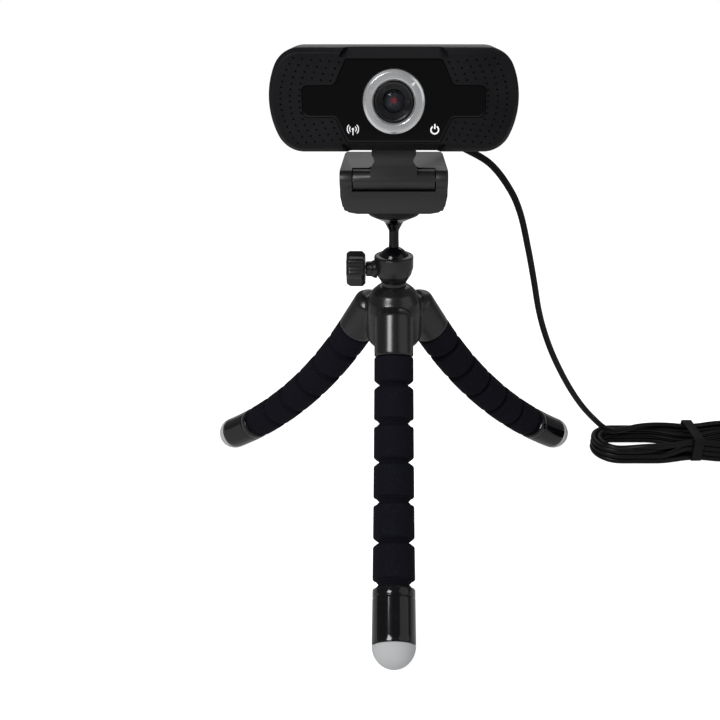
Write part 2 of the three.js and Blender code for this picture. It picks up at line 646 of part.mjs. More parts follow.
function clipPlate() {
	const front = rectangle([-halfClip, halfClip], [LIP_RISE, PLATE_TOP + LIP_CORNER], LIP_CORNER);
	const plan = rectangle([-halfClip, halfClip], [LIP_FRONT - LIP_CORNER, TOP_PLATE_BACK], LIP_CORNER - 1);
	const side = outline([
		[LIP_FRONT, LIP_RISE, 0.8],
		[LIP_BACK, LIP_RISE, 0.8],
		[LIP_BACK, JAW_SLOPE_FOOT],
		[LIP_BACK + JAW_SLOPE_RUN, PLATE_FLOOR],
		[TOP_PLATE_BACK, PLATE_FLOOR],
		[TOP_PLATE_BACK, PLATE_TOP, 2.5],
		[BARREL_Y, PLATE_TOP],
		[LIP_FRONT, BARREL_Z],
	]);
	const plate = common(
		sideways(side, [-halfClip, halfClip]),
		facing(front, [LIP_FRONT - 1, TOP_PLATE_BACK + 1]),
		standing(plan, [0, PLATE_TOP + 1]),
	);
	const ends = [-1, 1].map((hand) => box(
		[hand * halfClip, hand * (BARREL_LENGTH / 2 + JAW_GAP)].sort((a, b) => a - b),
		[LIP_FRONT, BARREL_Y + BARREL_RADIUS],
		[PLATE_FLOOR, BARREL_Z],
	));
	const rolls = [-1, 1].map((hand) => {
		const [from, to] = [hand * halfClip, hand * (BARREL_LENGTH / 2 + JAW_GAP)].sort((a, b) => a - b);
		return rod(BARREL_RADIUS, from, to, 'x', 18).translate(0, BARREL_Y, BARREL_Z);
	});
	const ears = [-1, 1].flatMap((hand) => {
		const near = HINGE_KNUCKLE / 2 + JAW_GAP;
		const [from, to] = [hand * near, hand * (near + HINGE_EAR)].sort((a, b) => a - b);
		return [
			rod(HINGE_RADIUS, from, to, 'x', 16).translate(0, HINGE_Y, HINGE_Z),
			box([from, to], [HINGE_Y - HINGE_RADIUS, HINGE_Y], [HINGE_Z, PLATE_FLOOR + 1]),
		];
	});
	const reach = BARREL_LENGTH / 2 + JAW_GAP;
	const pocket = box(
		[-reach, reach],
		[BARREL_Y - 2 * BARREL_RADIUS, BARREL_Y + BARREL_RADIUS + JAW_GAP],
		[BARREL_Z - BARREL_RADIUS - GAP, PLATE_TOP + 1],
	);
	const tiltRoom = box(
		[-NECK_WIDTH / 2 - 0.6, NECK_WIDTH / 2 + 0.6],
		[BARREL_Y, BARREL_Y + BARREL_RADIUS + 2.4],
		[BARREL_Z - 1, PLATE_TOP + 1],
	);
	const through = rod(PIN_RADIUS + PIN_CLEARANCE, -halfClip - 1, halfClip + 1, 'x', 10);
	const pinHole = (y, z) => through.clone().translate(0, y, z);
	const pad = facing(lipPadOutline(GAP), [LIP_BACK - LIP_PAD_THICK - GAP, LIP_BACK + 1]);
	return cut(
		join(plate, ...ends, ...rolls, ...ears),
		pocket,
		tiltRoom,
		pinHole(HINGE_Y, HINGE_Z),
		pinHole(BARREL_Y, BARREL_Z),
		pad,
	);
}

const lipPadOutline = (clearance) => rectangle(
	[-halfClip + LIP_CORNER - 1 - clearance, halfClip - LIP_CORNER + 1 + clearance],
	[LIP_RISE + 0.9 - clearance, JAW_SLOPE_FOOT - 0.5 + clearance],
	0.4,
);

// ---------- neck, measured from the tilt barrel's axis ----------

const SWIVEL_Y = CAMERA_FRONT + CAMERA_DEPTH / 2 - BARREL_Y;

function neck() {
	const [foot, waist] = [NECK_WIDTH / 2, NECK_WAIST / 2];
	const column = facing(outline([
		[-foot, 0],
		[foot, 0],
		[foot, 4],
		[waist, NECK_RISE - 4.5, 2],
		[waist + 1.6, NECK_RISE - 2],
		[waist + 1.6, NECK_RISE],
		[-waist - 1.6, NECK_RISE],
		[-waist - 1.6, NECK_RISE - 2],
		[-waist, NECK_RISE - 4.5, 2],
		[-foot, 4],
	]), [-NECK_COLLAR_DEPTH / 2 + SWIVEL_Y, NECK_COLLAR_DEPTH / 2 + SWIVEL_Y]);
	const flank = sideways(outline([
		[-NECK_DEPTH / 2, 0],
		[NECK_DEPTH / 2, 0],
		[NECK_DEPTH / 2, NECK_RISE - 5.6],
		[NECK_COLLAR_DEPTH / 2 + SWIVEL_Y, NECK_RISE - 3.4],
		[NECK_COLLAR_DEPTH / 2 + SWIVEL_Y, NECK_RISE],
		[-NECK_COLLAR_DEPTH / 2 + SWIVEL_Y, NECK_RISE],
		[-NECK_COLLAR_DEPTH / 2 + SWIVEL_Y, NECK_RISE - 3.4],
		[-NECK_DEPTH / 2, NECK_RISE - 5.6],
	]), [-foot - 1, foot + 1]);
	const barrel = rod(BARREL_RADIUS, -BARREL_LENGTH / 2, BARREL_LENGTH / 2, 'x', 18);
	const screwHole = rod(SWIVEL_RADIUS + GAP, NECK_RISE - SWIVEL_DEPTH - GAP, NECK_RISE + 1, 'z', 14)
		.translate(0, SWIVEL_Y, 0);
	return cut(
		join(common(column, flank), barrel),
		rod(PIN_RADIUS + PIN_CLEARANCE, -BARREL_LENGTH, BARREL_LENGTH, 'x', 10),
		screwHole,
	);
}

/** From the neck's collar through the webcam's floor, which starts a gap above the collar. */
function swivelScrew() {
	const underHead = GAP + CAMERA_WALL + GAP + WASHER_THICK + GAP;
	return turned([
		[0, -SWIVEL_DEPTH],
		[SWIVEL_RADIUS, -SWIVEL_DEPTH],
		[SWIVEL_RADIUS, underHead],
		[SWIVEL_HEAD_RADIUS, underHead],
		[SWIVEL_HEAD_RADIUS, underHead + SWIVEL_HEAD_HEIGHT],
		[0, underHead + SWIVEL_HEAD_HEIGHT],
	], 'z', 14);
}

function swivelWasher() {
	const under = GAP + CAMERA_WALL + GAP;
	return rod(WASHER_RADIUS, under, under + WASHER_THICK, 'z', 18, SWIVEL_RADIUS + GAP);
}

// ---------- webcam, measured from the middle of its front face, +Y to its back ----------

/** The case's outline: wide round ends and rounder corners, this far inside its edge. */
function caseOutline(inset) {
	const endRadius = CAMERA_END_RADIUS - inset;
	const cornerRadius = CAMERA_CORNER_RADIUS - inset;
	const endX = CAMERA_WIDTH / 2 - CAMERA_END_RADIUS;
	const cornerZ = CAMERA_HEIGHT / 2 - CAMERA_CORNER_RADIUS;
	const cornerX = endX + Math.sqrt((CAMERA_END_RADIUS - CAMERA_CORNER_RADIUS) ** 2 - cornerZ ** 2);
	const meet = Math.atan2(cornerZ, cornerX - endX);
	const right = Math.PI / 2;
	const shape = new THREE.Shape();
	shape.absarc(cornerX, cornerZ, cornerRadius, right, meet, true);
	shape.absarc(endX, 0, endRadius, meet, -meet, true);
	shape.absarc(cornerX, -cornerZ, cornerRadius, -meet, -right, true);
	shape.absarc(-cornerX, -cornerZ, cornerRadius, -right, -2 * right + meet, true);
	shape.absarc(-endX, 0, endRadius, -2 * right + meet, -2 * right - meet, true);
	shape.absarc(-cornerX, cornerZ, cornerRadius, -2 * right - meet, -3 * right, true);
	shape.closePath();
	return shape;
}

/** The case's whole outside, with its edges worked back by the bevel at both ends. */
function caseBlock(edge, edgeDepth, rounds) {
	const geometry = new THREE.ExtrudeGeometry(caseOutline(0), {
		depth: CAMERA_DEPTH - 2 * edgeDepth,
		bevelEnabled: true,
		bevelSize: edge,
		bevelOffset: -edge,
		bevelThickness: edgeDepth,
		bevelSegments: rounds,
		curveSegments: 4,
	});
	return geometry.rotateX(Math.PI / 2).translate(0, CAMERA_DEPTH - edgeDepth, 0);
}

const hollow = (from, to) => facing(caseOutline(CAMERA_WALL), [from, to]);
const wholeWidth = [-CAMERA_WIDTH, CAMERA_WIDTH];
const wholeHeight = [-CAMERA_HEIGHT, CAMERA_HEIGHT];

function panelOutline(clearance) {
	const c = clearance;
	const quarter = [
		[WING_HALF_WIDTH + c, WING_HALF_HEIGHT + c, 2.4],
		[PANEL_SHOULDER + c, WING_HALF_HEIGHT + c, 2.2],
		[PANEL_HALF_WIDTH + c, PANEL_HALF_HEIGHT + c, 1.2],
	];
	const mirror = (sx, sz, list) => list.map(([x, z, r]) => [sx * x, sz * z, r]);
	return outline([
		...mirror(1, 1, quarter),
		...mirror(-1, 1, [...quarter].reverse()),
		...mirror(-1, -1, quarter),
		...mirror(1, -1, [...quarter].reverse()),
	]);
}

/** The wedge that widens the chamfer over the lens, and under it with hand = -1. */
function browTool(hand) {
	const length = Math.hypot(BROW_HEIGHT, BROW_DEPTH);
	const face = outline([
		[-BROW_HALF_WIDTH - 1.5, 0],
		[BROW_HALF_WIDTH + 1.5, 0],
		[BROW_HALF_WIDTH - 4, 2 * length],
		[-BROW_HALF_WIDTH + 4, 2 * length],
	]);
	return extruded(face, CAMERA_HEIGHT / 2)
		.rotateX(Math.atan2(BROW_HEIGHT, BROW_DEPTH))
		.translate(0, 0, CAMERA_HEIGHT / 2 - BROW_HEIGHT)
		.scale(1, 1, hand);
}

const LENS_HOLE = RING_OUTER + GAP + 0.05;
const BOSS_RADIUS = 2.8;
const BOSS_END = 15;

function frontBezel() {
	const outside = common(
		caseBlock(BEZEL_CHAMFER, BEZEL_CHAMFER_DEPTH, 1),
		box(wholeWidth, [-1, BEZEL_DEPTH], wholeHeight),
	);
	const shell = cut(outside, hollow(BEZEL_WALL, BEZEL_DEPTH + 1), browTool(1), browTool(-1));
	const bosses = [-1, 1].map((hand) =>
		rod(BOSS_RADIUS, BEZEL_WALL - 1, BOSS_END, 'y', 12).translate(hand * CASE_SCREW_X, 0, 0));
	const screwHoles = [-1, 1].map((hand) =>
		rod(CASE_SCREW_RADIUS + GAP, BEZEL_WALL + 2, BOSS_END + 1, 'y', 12).translate(hand * CASE_SCREW_X, 0, 0));
	const lightHoles = [-1, 1].map((hand) =>
		rod(LIGHT_RADIUS + GAP, 0, BEZEL_WALL + 1, 'y', 12).translate(hand * LIGHT_X, 0, LIGHT_Z));
	return cut(
		join(shell, ...bosses),
		facing(panelOutline(GAP), [-1, PANEL_THICK - PANEL_PROUD + GAP]),
		rod(LENS_HOLE, -1, BEZEL_WALL + 1, 'y', 28),
		...screwHoles,
		...lightHoles,
	);
}

function rearShell() {
	const outside = common(
		caseBlock(CAMERA_REAR_ROUND, CAMERA_REAR_ROUND, 3),
		box(wholeWidth, [BEZEL_DEPTH + GAP, CAMERA_DEPTH + 1], wholeHeight),
	);
	const screwHole = rod(CASE_SCREW_RADIUS + GAP, BOSS_END, CAMERA_DEPTH + 1, 'y', 12);
	const headHole = rod(CASE_SCREW_HEAD + GAP, CAMERA_DEPTH - 1, CAMERA_DEPTH + 1, 'y', 14);
	const screwHoles = [-CASE_SCREW_X, CASE_SCREW_X].map((x) => join(screwHole, headHole).translate(x, 0, 0));
	return cut(
		outside,
		hollow(BEZEL_DEPTH, CAMERA_DEPTH - CAMERA_WALL),
		...screwHoles,
		rod(RELIEF_SPIGOT + GAP, CAMERA_DEPTH - 2 * CAMERA_WALL, CAMERA_DEPTH + 1, 'y', 16)
			.translate(RELIEF_X, 0, RELIEF_Z),
		rod(SWIVEL_RADIUS + GAP + 0.1, -CAMERA_HEIGHT, -CAMERA_HEIGHT / 2 + 2 * CAMERA_WALL, 'z', 14)
			.translate(0, CAMERA_DEPTH / 2, 0),
	);
}

function caseScrew() {
	const under = CAMERA_DEPTH - 1 + GAP;
	return turned([
		[0, BEZEL_WALL + 2 + GAP],
		[CASE_SCREW_RADIUS, BEZEL_WALL + 2 + GAP],
		[CASE_SCREW_RADIUS, under],
		[CASE_SCREW_HEAD, under],
		[CASE_SCREW_HEAD, CAMERA_DEPTH],
		[0, CAMERA_DEPTH],
	], 'y', 12);
}

function frontPanel() {
	const holes = [rod(LENS_HOLE, -1, BEZEL_WALL, 'y', 28)];
	return cut(facing(panelOutline(0), [-PANEL_PROUD, PANEL_THICK - PANEL_PROUD]), ...holes);
}

function focusRing() {
	const flange = BEZEL_WALL + GAP;
	const front = -RING_PROUD;
	const profile = [
		[RING_INNER, front + 0.5],
		[RING_INNER + 0.5, front],
		[RING_OUTER - 0.6, front],
		[RING_OUTER, front + 0.6],
		[RING_OUTER, flange],
		[RING_OUTER + RING_FLANGE, flange],
		[RING_OUTER + RING_FLANGE, flange + RING_FLANGE],
		[RING_INNER, flange + RING_FLANGE],
		[RING_INNER, front + 0.5],
	];
	return turned(profile, 'y', 28);
}

function lensBarrel() {
	const bore = LENS_RADIUS - 1.3;
	return turned([
		[BARREL_OUTER, LENS_BARREL_FRONT + 0.3],
		[BARREL_OUTER, LENS_BARREL_BACK],
		[bore, LENS_BARREL_BACK],
		[bore, LENS_SEAT + GAP],
		[LENS_RADIUS + GAP, LENS_SEAT + GAP],
		[LENS_RADIUS + GAP, 1.4],
		[4.9, 1.4],
		[5.2, 0.1],
		[5.8, 0.1],
		[6.1, LENS_BARREL_FRONT],
		[BARREL_OUTER - 0.3, LENS_BARREL_FRONT],
		[BARREL_OUTER, LENS_BARREL_FRONT + 0.3],
	], 'y', 24);
}

const LENS_SEAT = 3.4;

function frontLens() {
	const edge = 2.6;
	const dome = 1.1;
	const rounds = 3;
	const face = Array.from({ length: rounds + 1 }, (_, i) => {
		const r = (LENS_RADIUS * i) / rounds;
		return [r, edge - dome * (1 - (r / LENS_RADIUS) ** 2)];
	});
	return turned([...face, [LENS_RADIUS, LENS_SEAT], [0, LENS_SEAT]], 'y', 18);
}

const HOLDER_FRONT = BOARD_Y - GAP - HOLDER_DEPTH;

function lensHolder() {
	const half = HOLDER_SIZE / 2;
	const block = facing(rectangle([-half, half], [-half, half], 1.5), [HOLDER_FRONT, BOARD_Y - GAP]);
	return cut(block, rod(BARREL_OUTER + GAP, HOLDER_FRONT - 1, BOARD_Y, 'y', 24));
}

const RELIEF_SPIGOT = 2.6;

/** Its tip is where the cord starts. */
function strainRelief() {
	const root = CAMERA_DEPTH + GAP;
	const end = CAMERA_DEPTH + RELIEF_LENGTH;
	return turned([
		[0, CAMERA_DEPTH - CAMERA_WALL - 0.7],
		[RELIEF_SPIGOT, CAMERA_DEPTH - CAMERA_WALL - 0.7],
		[RELIEF_SPIGOT, root],
		[RELIEF_RADIUS, root],
		[RELIEF_RADIUS, root + 1.6],
		[CORD_RADIUS + 0.9, end - 0.4],
		[CORD_RADIUS + 0.5, end],
		[0, end],
	], 'y', 16).translate(RELIEF_X, 0, RELIEF_Z);
}

function webcam(camera) {
	add(camera, 'front_bezel', frontBezel(), bezelPlastic);
	add(camera, 'rear_shell', rearShell(), shellPlastic);
	add(camera, 'front_panel', frontPanel(), glossPanel);
	add(camera, 'focus_ring', focusRing(), silver);
	add(camera, 'lens_barrel', lensBarrel(), barrelBlack);
	add(camera, 'front_lens', frontLens(), glass);
	add(camera, 'lens_holder', lensHolder(), rubber);
	add(camera, 'ir_filter', rod(3.5, LENS_BARREL_BACK + 0.4, LENS_BARREL_BACK + 1, 'y', 16), glass);
	const halfSensor = SENSOR_SIZE / 2;
	add(camera, 'image_sensor', box(
		[-halfSensor, halfSensor],
		[BOARD_Y - GAP - 1, BOARD_Y - GAP],
		[-halfSensor, halfSensor],
	), glass);
	add(camera, 'main_board', box(
		[-BOARD_WIDTH / 2, BOARD_WIDTH / 2],
		[BOARD_Y, BOARD_Y + BOARD_THICK],
		[-BOARD_HEIGHT / 2, BOARD_HEIGHT / 2],
	), boardGreen);
	add(camera, 'strain_relief', strainRelief(), cordRubber);
	const hands = [['left', -1], ['right', 1]];
	const lights = ['status_light', 'power_light'];
	hands.forEach(([side, hand], i) => {
		const screw = add(camera, `case_screw_${side}`, caseScrew(), steel);
		screw.position.x = hand * CASE_SCREW_X;
		const microphone = rod(MIC_RADIUS, BEZEL_WALL + GAP, BEZEL_WALL + GAP + 2, 'y', 14);
		add(camera, `microphone_${side}`, microphone, silver).position.x = hand * MIC_X;
		const front = PANEL_THICK - PANEL_PROUD + GAP;
		const light = add(camera, lights[i], rod(LIGHT_RADIUS, front, BEZEL_DEPTH, 'y', 12), lightPipe);
		light.position.set(hand * LIGHT_X, 0, LIGHT_Z);
	});
}

// ---------- cord, measured from the tripod's axis on the table ----------

/** The free stretch's centreline, from the strain relief down to the top of the hank. */
const CORD_ROUTE = [
	[10, 10.3, 178],
	[10.2, 15, 178],
	[12.6, 19.6, 176.6],
	[19, 22.8, 171.8],
	[27.7, 23.8, 166.2],
	[41.2, 22.5, 158.8],
	[50.6, 21.5, 147.6],
	[55.4, 21.5, 138],
	[60.5, 22.5, 121],
	[64.8, 24, 104.5],
	[68.2, 26.2, 91],
	[72, 28.5, 79.4],
	[77.4, 30.6, 66.4],
	[84.6, 33, 52.4],
	[91.8, 35.4, 40.4],
	[99, 37.8, 30.3],
	[106, 40.2, 22.2],
	[113, 42.6, 15.4],
];

/** Drawn along the route, whose upper end moves to wherever the strain relief ends. */
function cord(reliefEnd) {
	const points = CORD_ROUTE.map((p) => new THREE.Vector3(...p));
	const [top, foot] = [points[0].clone(), points.at(-1).clone()];
	const shift = reliefEnd.clone().sub(top);
	points.forEach((p) => p.addScaledVector(shift, (p.z - foot.z) / (top.z - foot.z)));
	const route = new THREE.CatmullRomCurve3(points, false, 'centripetal');
	const sides = 8;
	const ring = Array.from({ length: sides }, (_, i) => {
		const angle = (i / sides) * 2 * Math.PI;
		return new THREE.Vector2(CORD_RADIUS * Math.cos(angle), CORD_RADIUS * Math.sin(angle));
	});
	const steps = Math.round(route.getLength() / (6 * CORD_RADIUS));
	return new THREE.ExtrudeGeometry(new THREE.Shape(ring), { steps, extrudePath: route });
}

/** The folded bundle's outer shape, drawn in at its tie. */
function hank() {
	const half = HANK_RUN / 2;
	const right = Math.PI / 2;
	const pinch = [TIE_X - TIE_WIDTH / 2 - 1, TIE_X + TIE_WIDTH / 2 + 1];
	const shape = new THREE.Shape();
	shape.absarc(half, 0, HANK_RADIUS, -right, right, false);
	shape.bezierCurveTo(half - 8, HANK_RADIUS, pinch[1] + 6, HANK_WAIST, pinch[1], HANK_WAIST);
	shape.lineTo(pinch[0], HANK_WAIST);
	shape.bezierCurveTo(pinch[0] - 8, HANK_WAIST, 8 - half, HANK_RADIUS, -half, HANK_RADIUS);
	shape.absarc(-half, 0, HANK_RADIUS, right, 3 * right, false);
	shape.bezierCurveTo(8 - half, -HANK_RADIUS, pinch[0] - 8, -HANK_WAIST, pinch[0], -HANK_WAIST);
	shape.lineTo(pinch[1], -HANK_WAIST);
	shape.bezierCurveTo(pinch[1] + 6, -HANK_WAIST, half - 8, -HANK_RADIUS, half, -HANK_RADIUS);
	return extruded(shape, HANK_HEIGHT, { curveSegments: 6 }).translate(0, 0, HANK_FLOOR);
}

function hankTie() {
	const inner = HANK_WAIST + GAP;
	const [low, high] = [HANK_FLOOR - GAP, HANK_FLOOR + HANK_HEIGHT + GAP];
	const outer = sideways(
		rectangle([-inner - TIE_THICK, inner + TIE_THICK], [low - TIE_THICK, high + TIE_THICK], 2),
		[TIE_X - TIE_WIDTH / 2, TIE_X + TIE_WIDTH / 2],
	);
	const hole = sideways(rectangle([-inner, inner], [low, high], 0), [TIE_X - TIE_WIDTH, TIE_X + TIE_WIDTH]);
	return cut(outer, hole);
}

/** The plug's rubber body, its tip and cord end towards +Y. */
function plugBody() {
	const [wide, long, high] = PLUG_BODY.map((size, i) => (i === 1 ? size : size / 2));
	const gripEnds = [-long - PLUG_RELIEF_LENGTH, -PLUG_RELIEF_LENGTH];
	const grip = facing(rectangle([-wide, wide], [-high, high], 2), gripEnds);
	const relief = turned([
		[0, -PLUG_RELIEF_LENGTH - 1],
		[high - 0.6, -PLUG_RELIEF_LENGTH - 1],
		[CORD_RADIUS + 1.2, -PLUG_RELIEF_LENGTH * 0.6],
		[CORD_RADIUS + 0.6, 0],
		[0, 0],
	], 'y', 14);
	return join(grip, relief);
}

/** The metal shell with its mouth at the front. */
function plugShell() {
	const [wide, long, high] = [PLUG_SHELL[0] / 2, PLUG_SHELL[1], PLUG_SHELL[2] / 2];
	const back = -PLUG_BODY[1] - PLUG_RELIEF_LENGTH - GAP;
	const wall = PLUG_SHELL_WALL;
	const outside = facing(rectangle([-wide, wide], [-high, high], 0.6), [back - long, back]);
	const mouth = box([-wide + wall, wide - wall], [back - long - 1, back - 1], [-high + wall, high - wall]);
	const tongueWidths = [-wide + 2 * wall, wide - 2 * wall];
	const tongue = box(tongueWidths, [back - long + 1, back - 0.5], [0, high - 2 * wall]);
	return join(cut(outside, mouth), tongue);
}

function cordPieces(parent, reliefEnd) {
	add(parent, 'cable', cord(reliefEnd), cordRubber);
	const bundle = new THREE.Group();
	bundle.position.set(...HANK_CENTRE, 0);
	add(bundle, 'cable_hank', hank(), cordRubber);
	add(bundle, 'hank_tie', hankTie(), rubber);
	const plug = new THREE.Group();
	const plugX = HANK_RUN / 2 + HANK_RADIUS - 2 * CORD_RADIUS;
	plug.position.set(plugX, -HANK_RADIUS + 2, PLUG_BODY[2] / 2 + GAP / 2);
	add(plug, 'plug_body', plugBody(), cordRubber);
	add(plug, 'plug_shell', plugShell(), steel);
	bundle.add(plug);
	parent.add(bundle);
}

// ---------- the whole ----------

const object = new THREE.Group();
Object.keys(LEG_AZIMUTHS).forEach((side) => object.add(leg(side)));

const hubGroup = new THREE.Group();
hubGroup.position.z = LEG_ROOT_Z;
add(hubGroup, 'hub', hub(), tripodPlastic);
add(hubGroup, 'hub_screw', hubScrew(), steel);

const head = new THREE.Group();
head.position.z = BALL_HEIGHT;
add(head, 'ball_socket', ballSocket(), tripodPlastic);
add(head, 'lock_knob', lockKnob(), tripodPlastic).position.z = -LOCK_DROP;
const lockScrew = rod(LOCK_SCREW_RADIUS, KNOB_FACE - LOCK_SCREW_DEPTH, LOCK_SCREW_TIP, 'x', 14);
add(head, 'lock_screw', lockScrew, steel).position.z = -LOCK_DROP;
add(head, 'ball', ball(), tripodPlastic);
add(head, 'stem_platform', stem(), tripodPlastic);
add(head, 'platform_pad', platformPad(), rubber);
add(head, 'camera_screw', cameraScrew(), steel);
hubGroup.add(head);

const clip = new THREE.Group();
clip.position.z = STEM_TOP + GAP;
add(clip, 'clip_leg', clipLeg(), clipPlastic);
add(clip, 'clip_leg_pad', standing(clipPad(0), [LEG_PLATE_THICK - LEG_PAD_THICK, LEG_PLATE_THICK]), rubber);
const insert = rod(INSERT_RADIUS, 0, INSERT_HEIGHT, 'z', 20, CAMERA_SCREW_RADIUS + GAP);
add(clip, 'thread_insert', insert, brass);
add(clip, 'clip_plate', clipPlate(), clipPlastic);
add(clip, 'lip_pad', facing(lipPadOutline(0), [LIP_BACK - LIP_PAD_THICK, LIP_BACK]), rubber);
const hingeHalf = HINGE_KNUCKLE / 2 + JAW_GAP + HINGE_EAR - 0.1;
const hingePin = rod(PIN_RADIUS, -hingeHalf, hingeHalf, 'x', 12);
add(clip, 'clip_hinge_pin', hingePin, steel).position.set(0, HINGE_Y, HINGE_Z);
const tiltHalf = halfClip - GAP;
const tiltPin = rod(PIN_RADIUS, -tiltHalf, tiltHalf, 'x', 12);
add(clip, 'tilt_pin', tiltPin, steel).position.set(0, BARREL_Y, BARREL_Z);
head.add(clip);

const neckGroup = new THREE.Group();
neckGroup.position.set(0, BARREL_Y, BARREL_Z);
add(neckGroup, 'neck', neck(), clipPlastic);
const swivel = new THREE.Group();
swivel.position.set(0, SWIVEL_Y, NECK_RISE);
add(swivel, 'swivel_screw', swivelScrew(), steel);
add(swivel, 'swivel_washer', swivelWasher(), steel);
const camera = new THREE.Group();
camera.position.set(0, -CAMERA_DEPTH / 2, GAP + CAMERA_HEIGHT / 2);
webcam(camera);
swivel.add(camera);
neckGroup.add(swivel);
clip.add(neckGroup);
object.add(hubGroup);

// The origin is under the middle of what stands on the table, without the cord.
object.updateMatrixWorld(true);
const standingBox = new THREE.Box3().setFromObject(object, true);
const reliefEnd = new THREE.Vector3(RELIEF_X, CAMERA_DEPTH + RELIEF_LENGTH + GAP, RELIEF_Z);
cordPieces(object, camera.localToWorld(reliefEnd));
object.position.x = -(standingBox.min.x + standingBox.max.x) / 2;
object.position.y = -(standingBox.min.y + standingBox.max.y) / 2;

export default object;
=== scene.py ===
"""The looks of a small webcam, clipped and screwed to a mini tripod with bending foam legs, and of its cord.

Sizes in the classes are millimetres from the tripod's upright axis where it meets the table; `at` turns
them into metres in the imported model's own frame.
"""
from __future__ import annotations

import logging
import math
from collections.abc import Callable, Iterable, Sequence
from dataclasses import dataclass
from enum import Enum

import bmesh
import bpy
from bpy.types import Material, Mesh, Node, NodeSocket, NodeTree, Object
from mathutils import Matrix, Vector


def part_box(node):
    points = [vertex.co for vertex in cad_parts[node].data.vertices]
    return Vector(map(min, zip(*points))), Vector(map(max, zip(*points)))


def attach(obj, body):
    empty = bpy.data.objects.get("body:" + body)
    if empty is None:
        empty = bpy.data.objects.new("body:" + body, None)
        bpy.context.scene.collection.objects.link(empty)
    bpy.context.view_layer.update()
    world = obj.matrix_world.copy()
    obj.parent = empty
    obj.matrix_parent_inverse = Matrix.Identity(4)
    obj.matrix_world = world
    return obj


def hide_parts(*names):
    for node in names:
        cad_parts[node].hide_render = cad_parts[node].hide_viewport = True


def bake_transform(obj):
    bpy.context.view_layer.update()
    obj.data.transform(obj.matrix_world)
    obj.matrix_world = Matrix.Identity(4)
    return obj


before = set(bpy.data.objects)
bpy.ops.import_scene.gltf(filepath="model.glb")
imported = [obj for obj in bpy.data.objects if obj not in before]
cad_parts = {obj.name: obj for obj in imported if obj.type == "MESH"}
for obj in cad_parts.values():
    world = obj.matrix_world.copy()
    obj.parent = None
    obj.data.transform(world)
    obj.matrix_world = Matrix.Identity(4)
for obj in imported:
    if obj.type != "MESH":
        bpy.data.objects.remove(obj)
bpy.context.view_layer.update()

log = logging.getLogger("webcam")

Corner = tuple[float, float, float]
Pair = tuple[float, float]
Colour = tuple[float, float, float]
Place = Callable[[float, float, float], Vector]
Form = bmesh.types.BMesh

MM = 0.001
TURN = 2 * math.pi
RIGHT_ANGLE = math.pi / 2
WHITE = (1.0, 1.0, 1.0, 1.0)
AXIS_Y = (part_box("ball")[0][1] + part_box("ball")[1][1]) / 2


def at(x: float, y: float, z: float) -> Vector:
    """A point from the tripod's axis in millimetres, in metres in the row frame."""
    return Vector((x * MM, y * MM + AXIS_Y, z * MM))


# ---------------------------------------------------------------- shader nodes


class Nodes:
    """A shader node tree, with short ways to add nodes and join them."""

    def __init__(self, tree: NodeTree) -> None:
        """Takes the tree to build in."""
        self.tree = tree

    def put(self, value: object, slot: NodeSocket) -> None:
        """Gives an input its value.

        Args:
            value: a socket to join to it, or a constant.
            slot: the input.
        """
        if isinstance(value, NodeSocket):
            self.tree.links.new(value, slot)
        else:
            slot.default_value = value

    def node(self, kind: str, inputs: dict[str | int, object] | None = None, **settings: object) -> Node:
        """Adds a node.

        Args:
            kind: its type.
            inputs: what goes into its inputs, by name or by number: a socket or a constant each.
            settings: its properties, which are set first.

        Returns:
            The node.
        """
        made = self.tree.nodes.new(kind)
        for key, value in settings.items():
            setattr(made, key, value)
        for slot, value in (inputs or {}).items():
            self.put(value, made.inputs[slot])
        return made

    def mix(self, factor: NodeSocket, first: NodeSocket | Colour, second: Colour) -> NodeSocket:
        """Mixes two colours by a mask.

        Args:
            factor: the mask.
            first: the colour where the mask is 0.
            second: the colour where the mask is 1.

        Returns:
            The mixed colour.
        """
        made = self.node("ShaderNodeMix", {"Factor": factor}, data_type="RGBA")
        self.put((*first, 1.0) if isinstance(first, tuple) else first, made.inputs[6])
        self.put((*second, 1.0), made.inputs[7])
        return made.outputs[2]


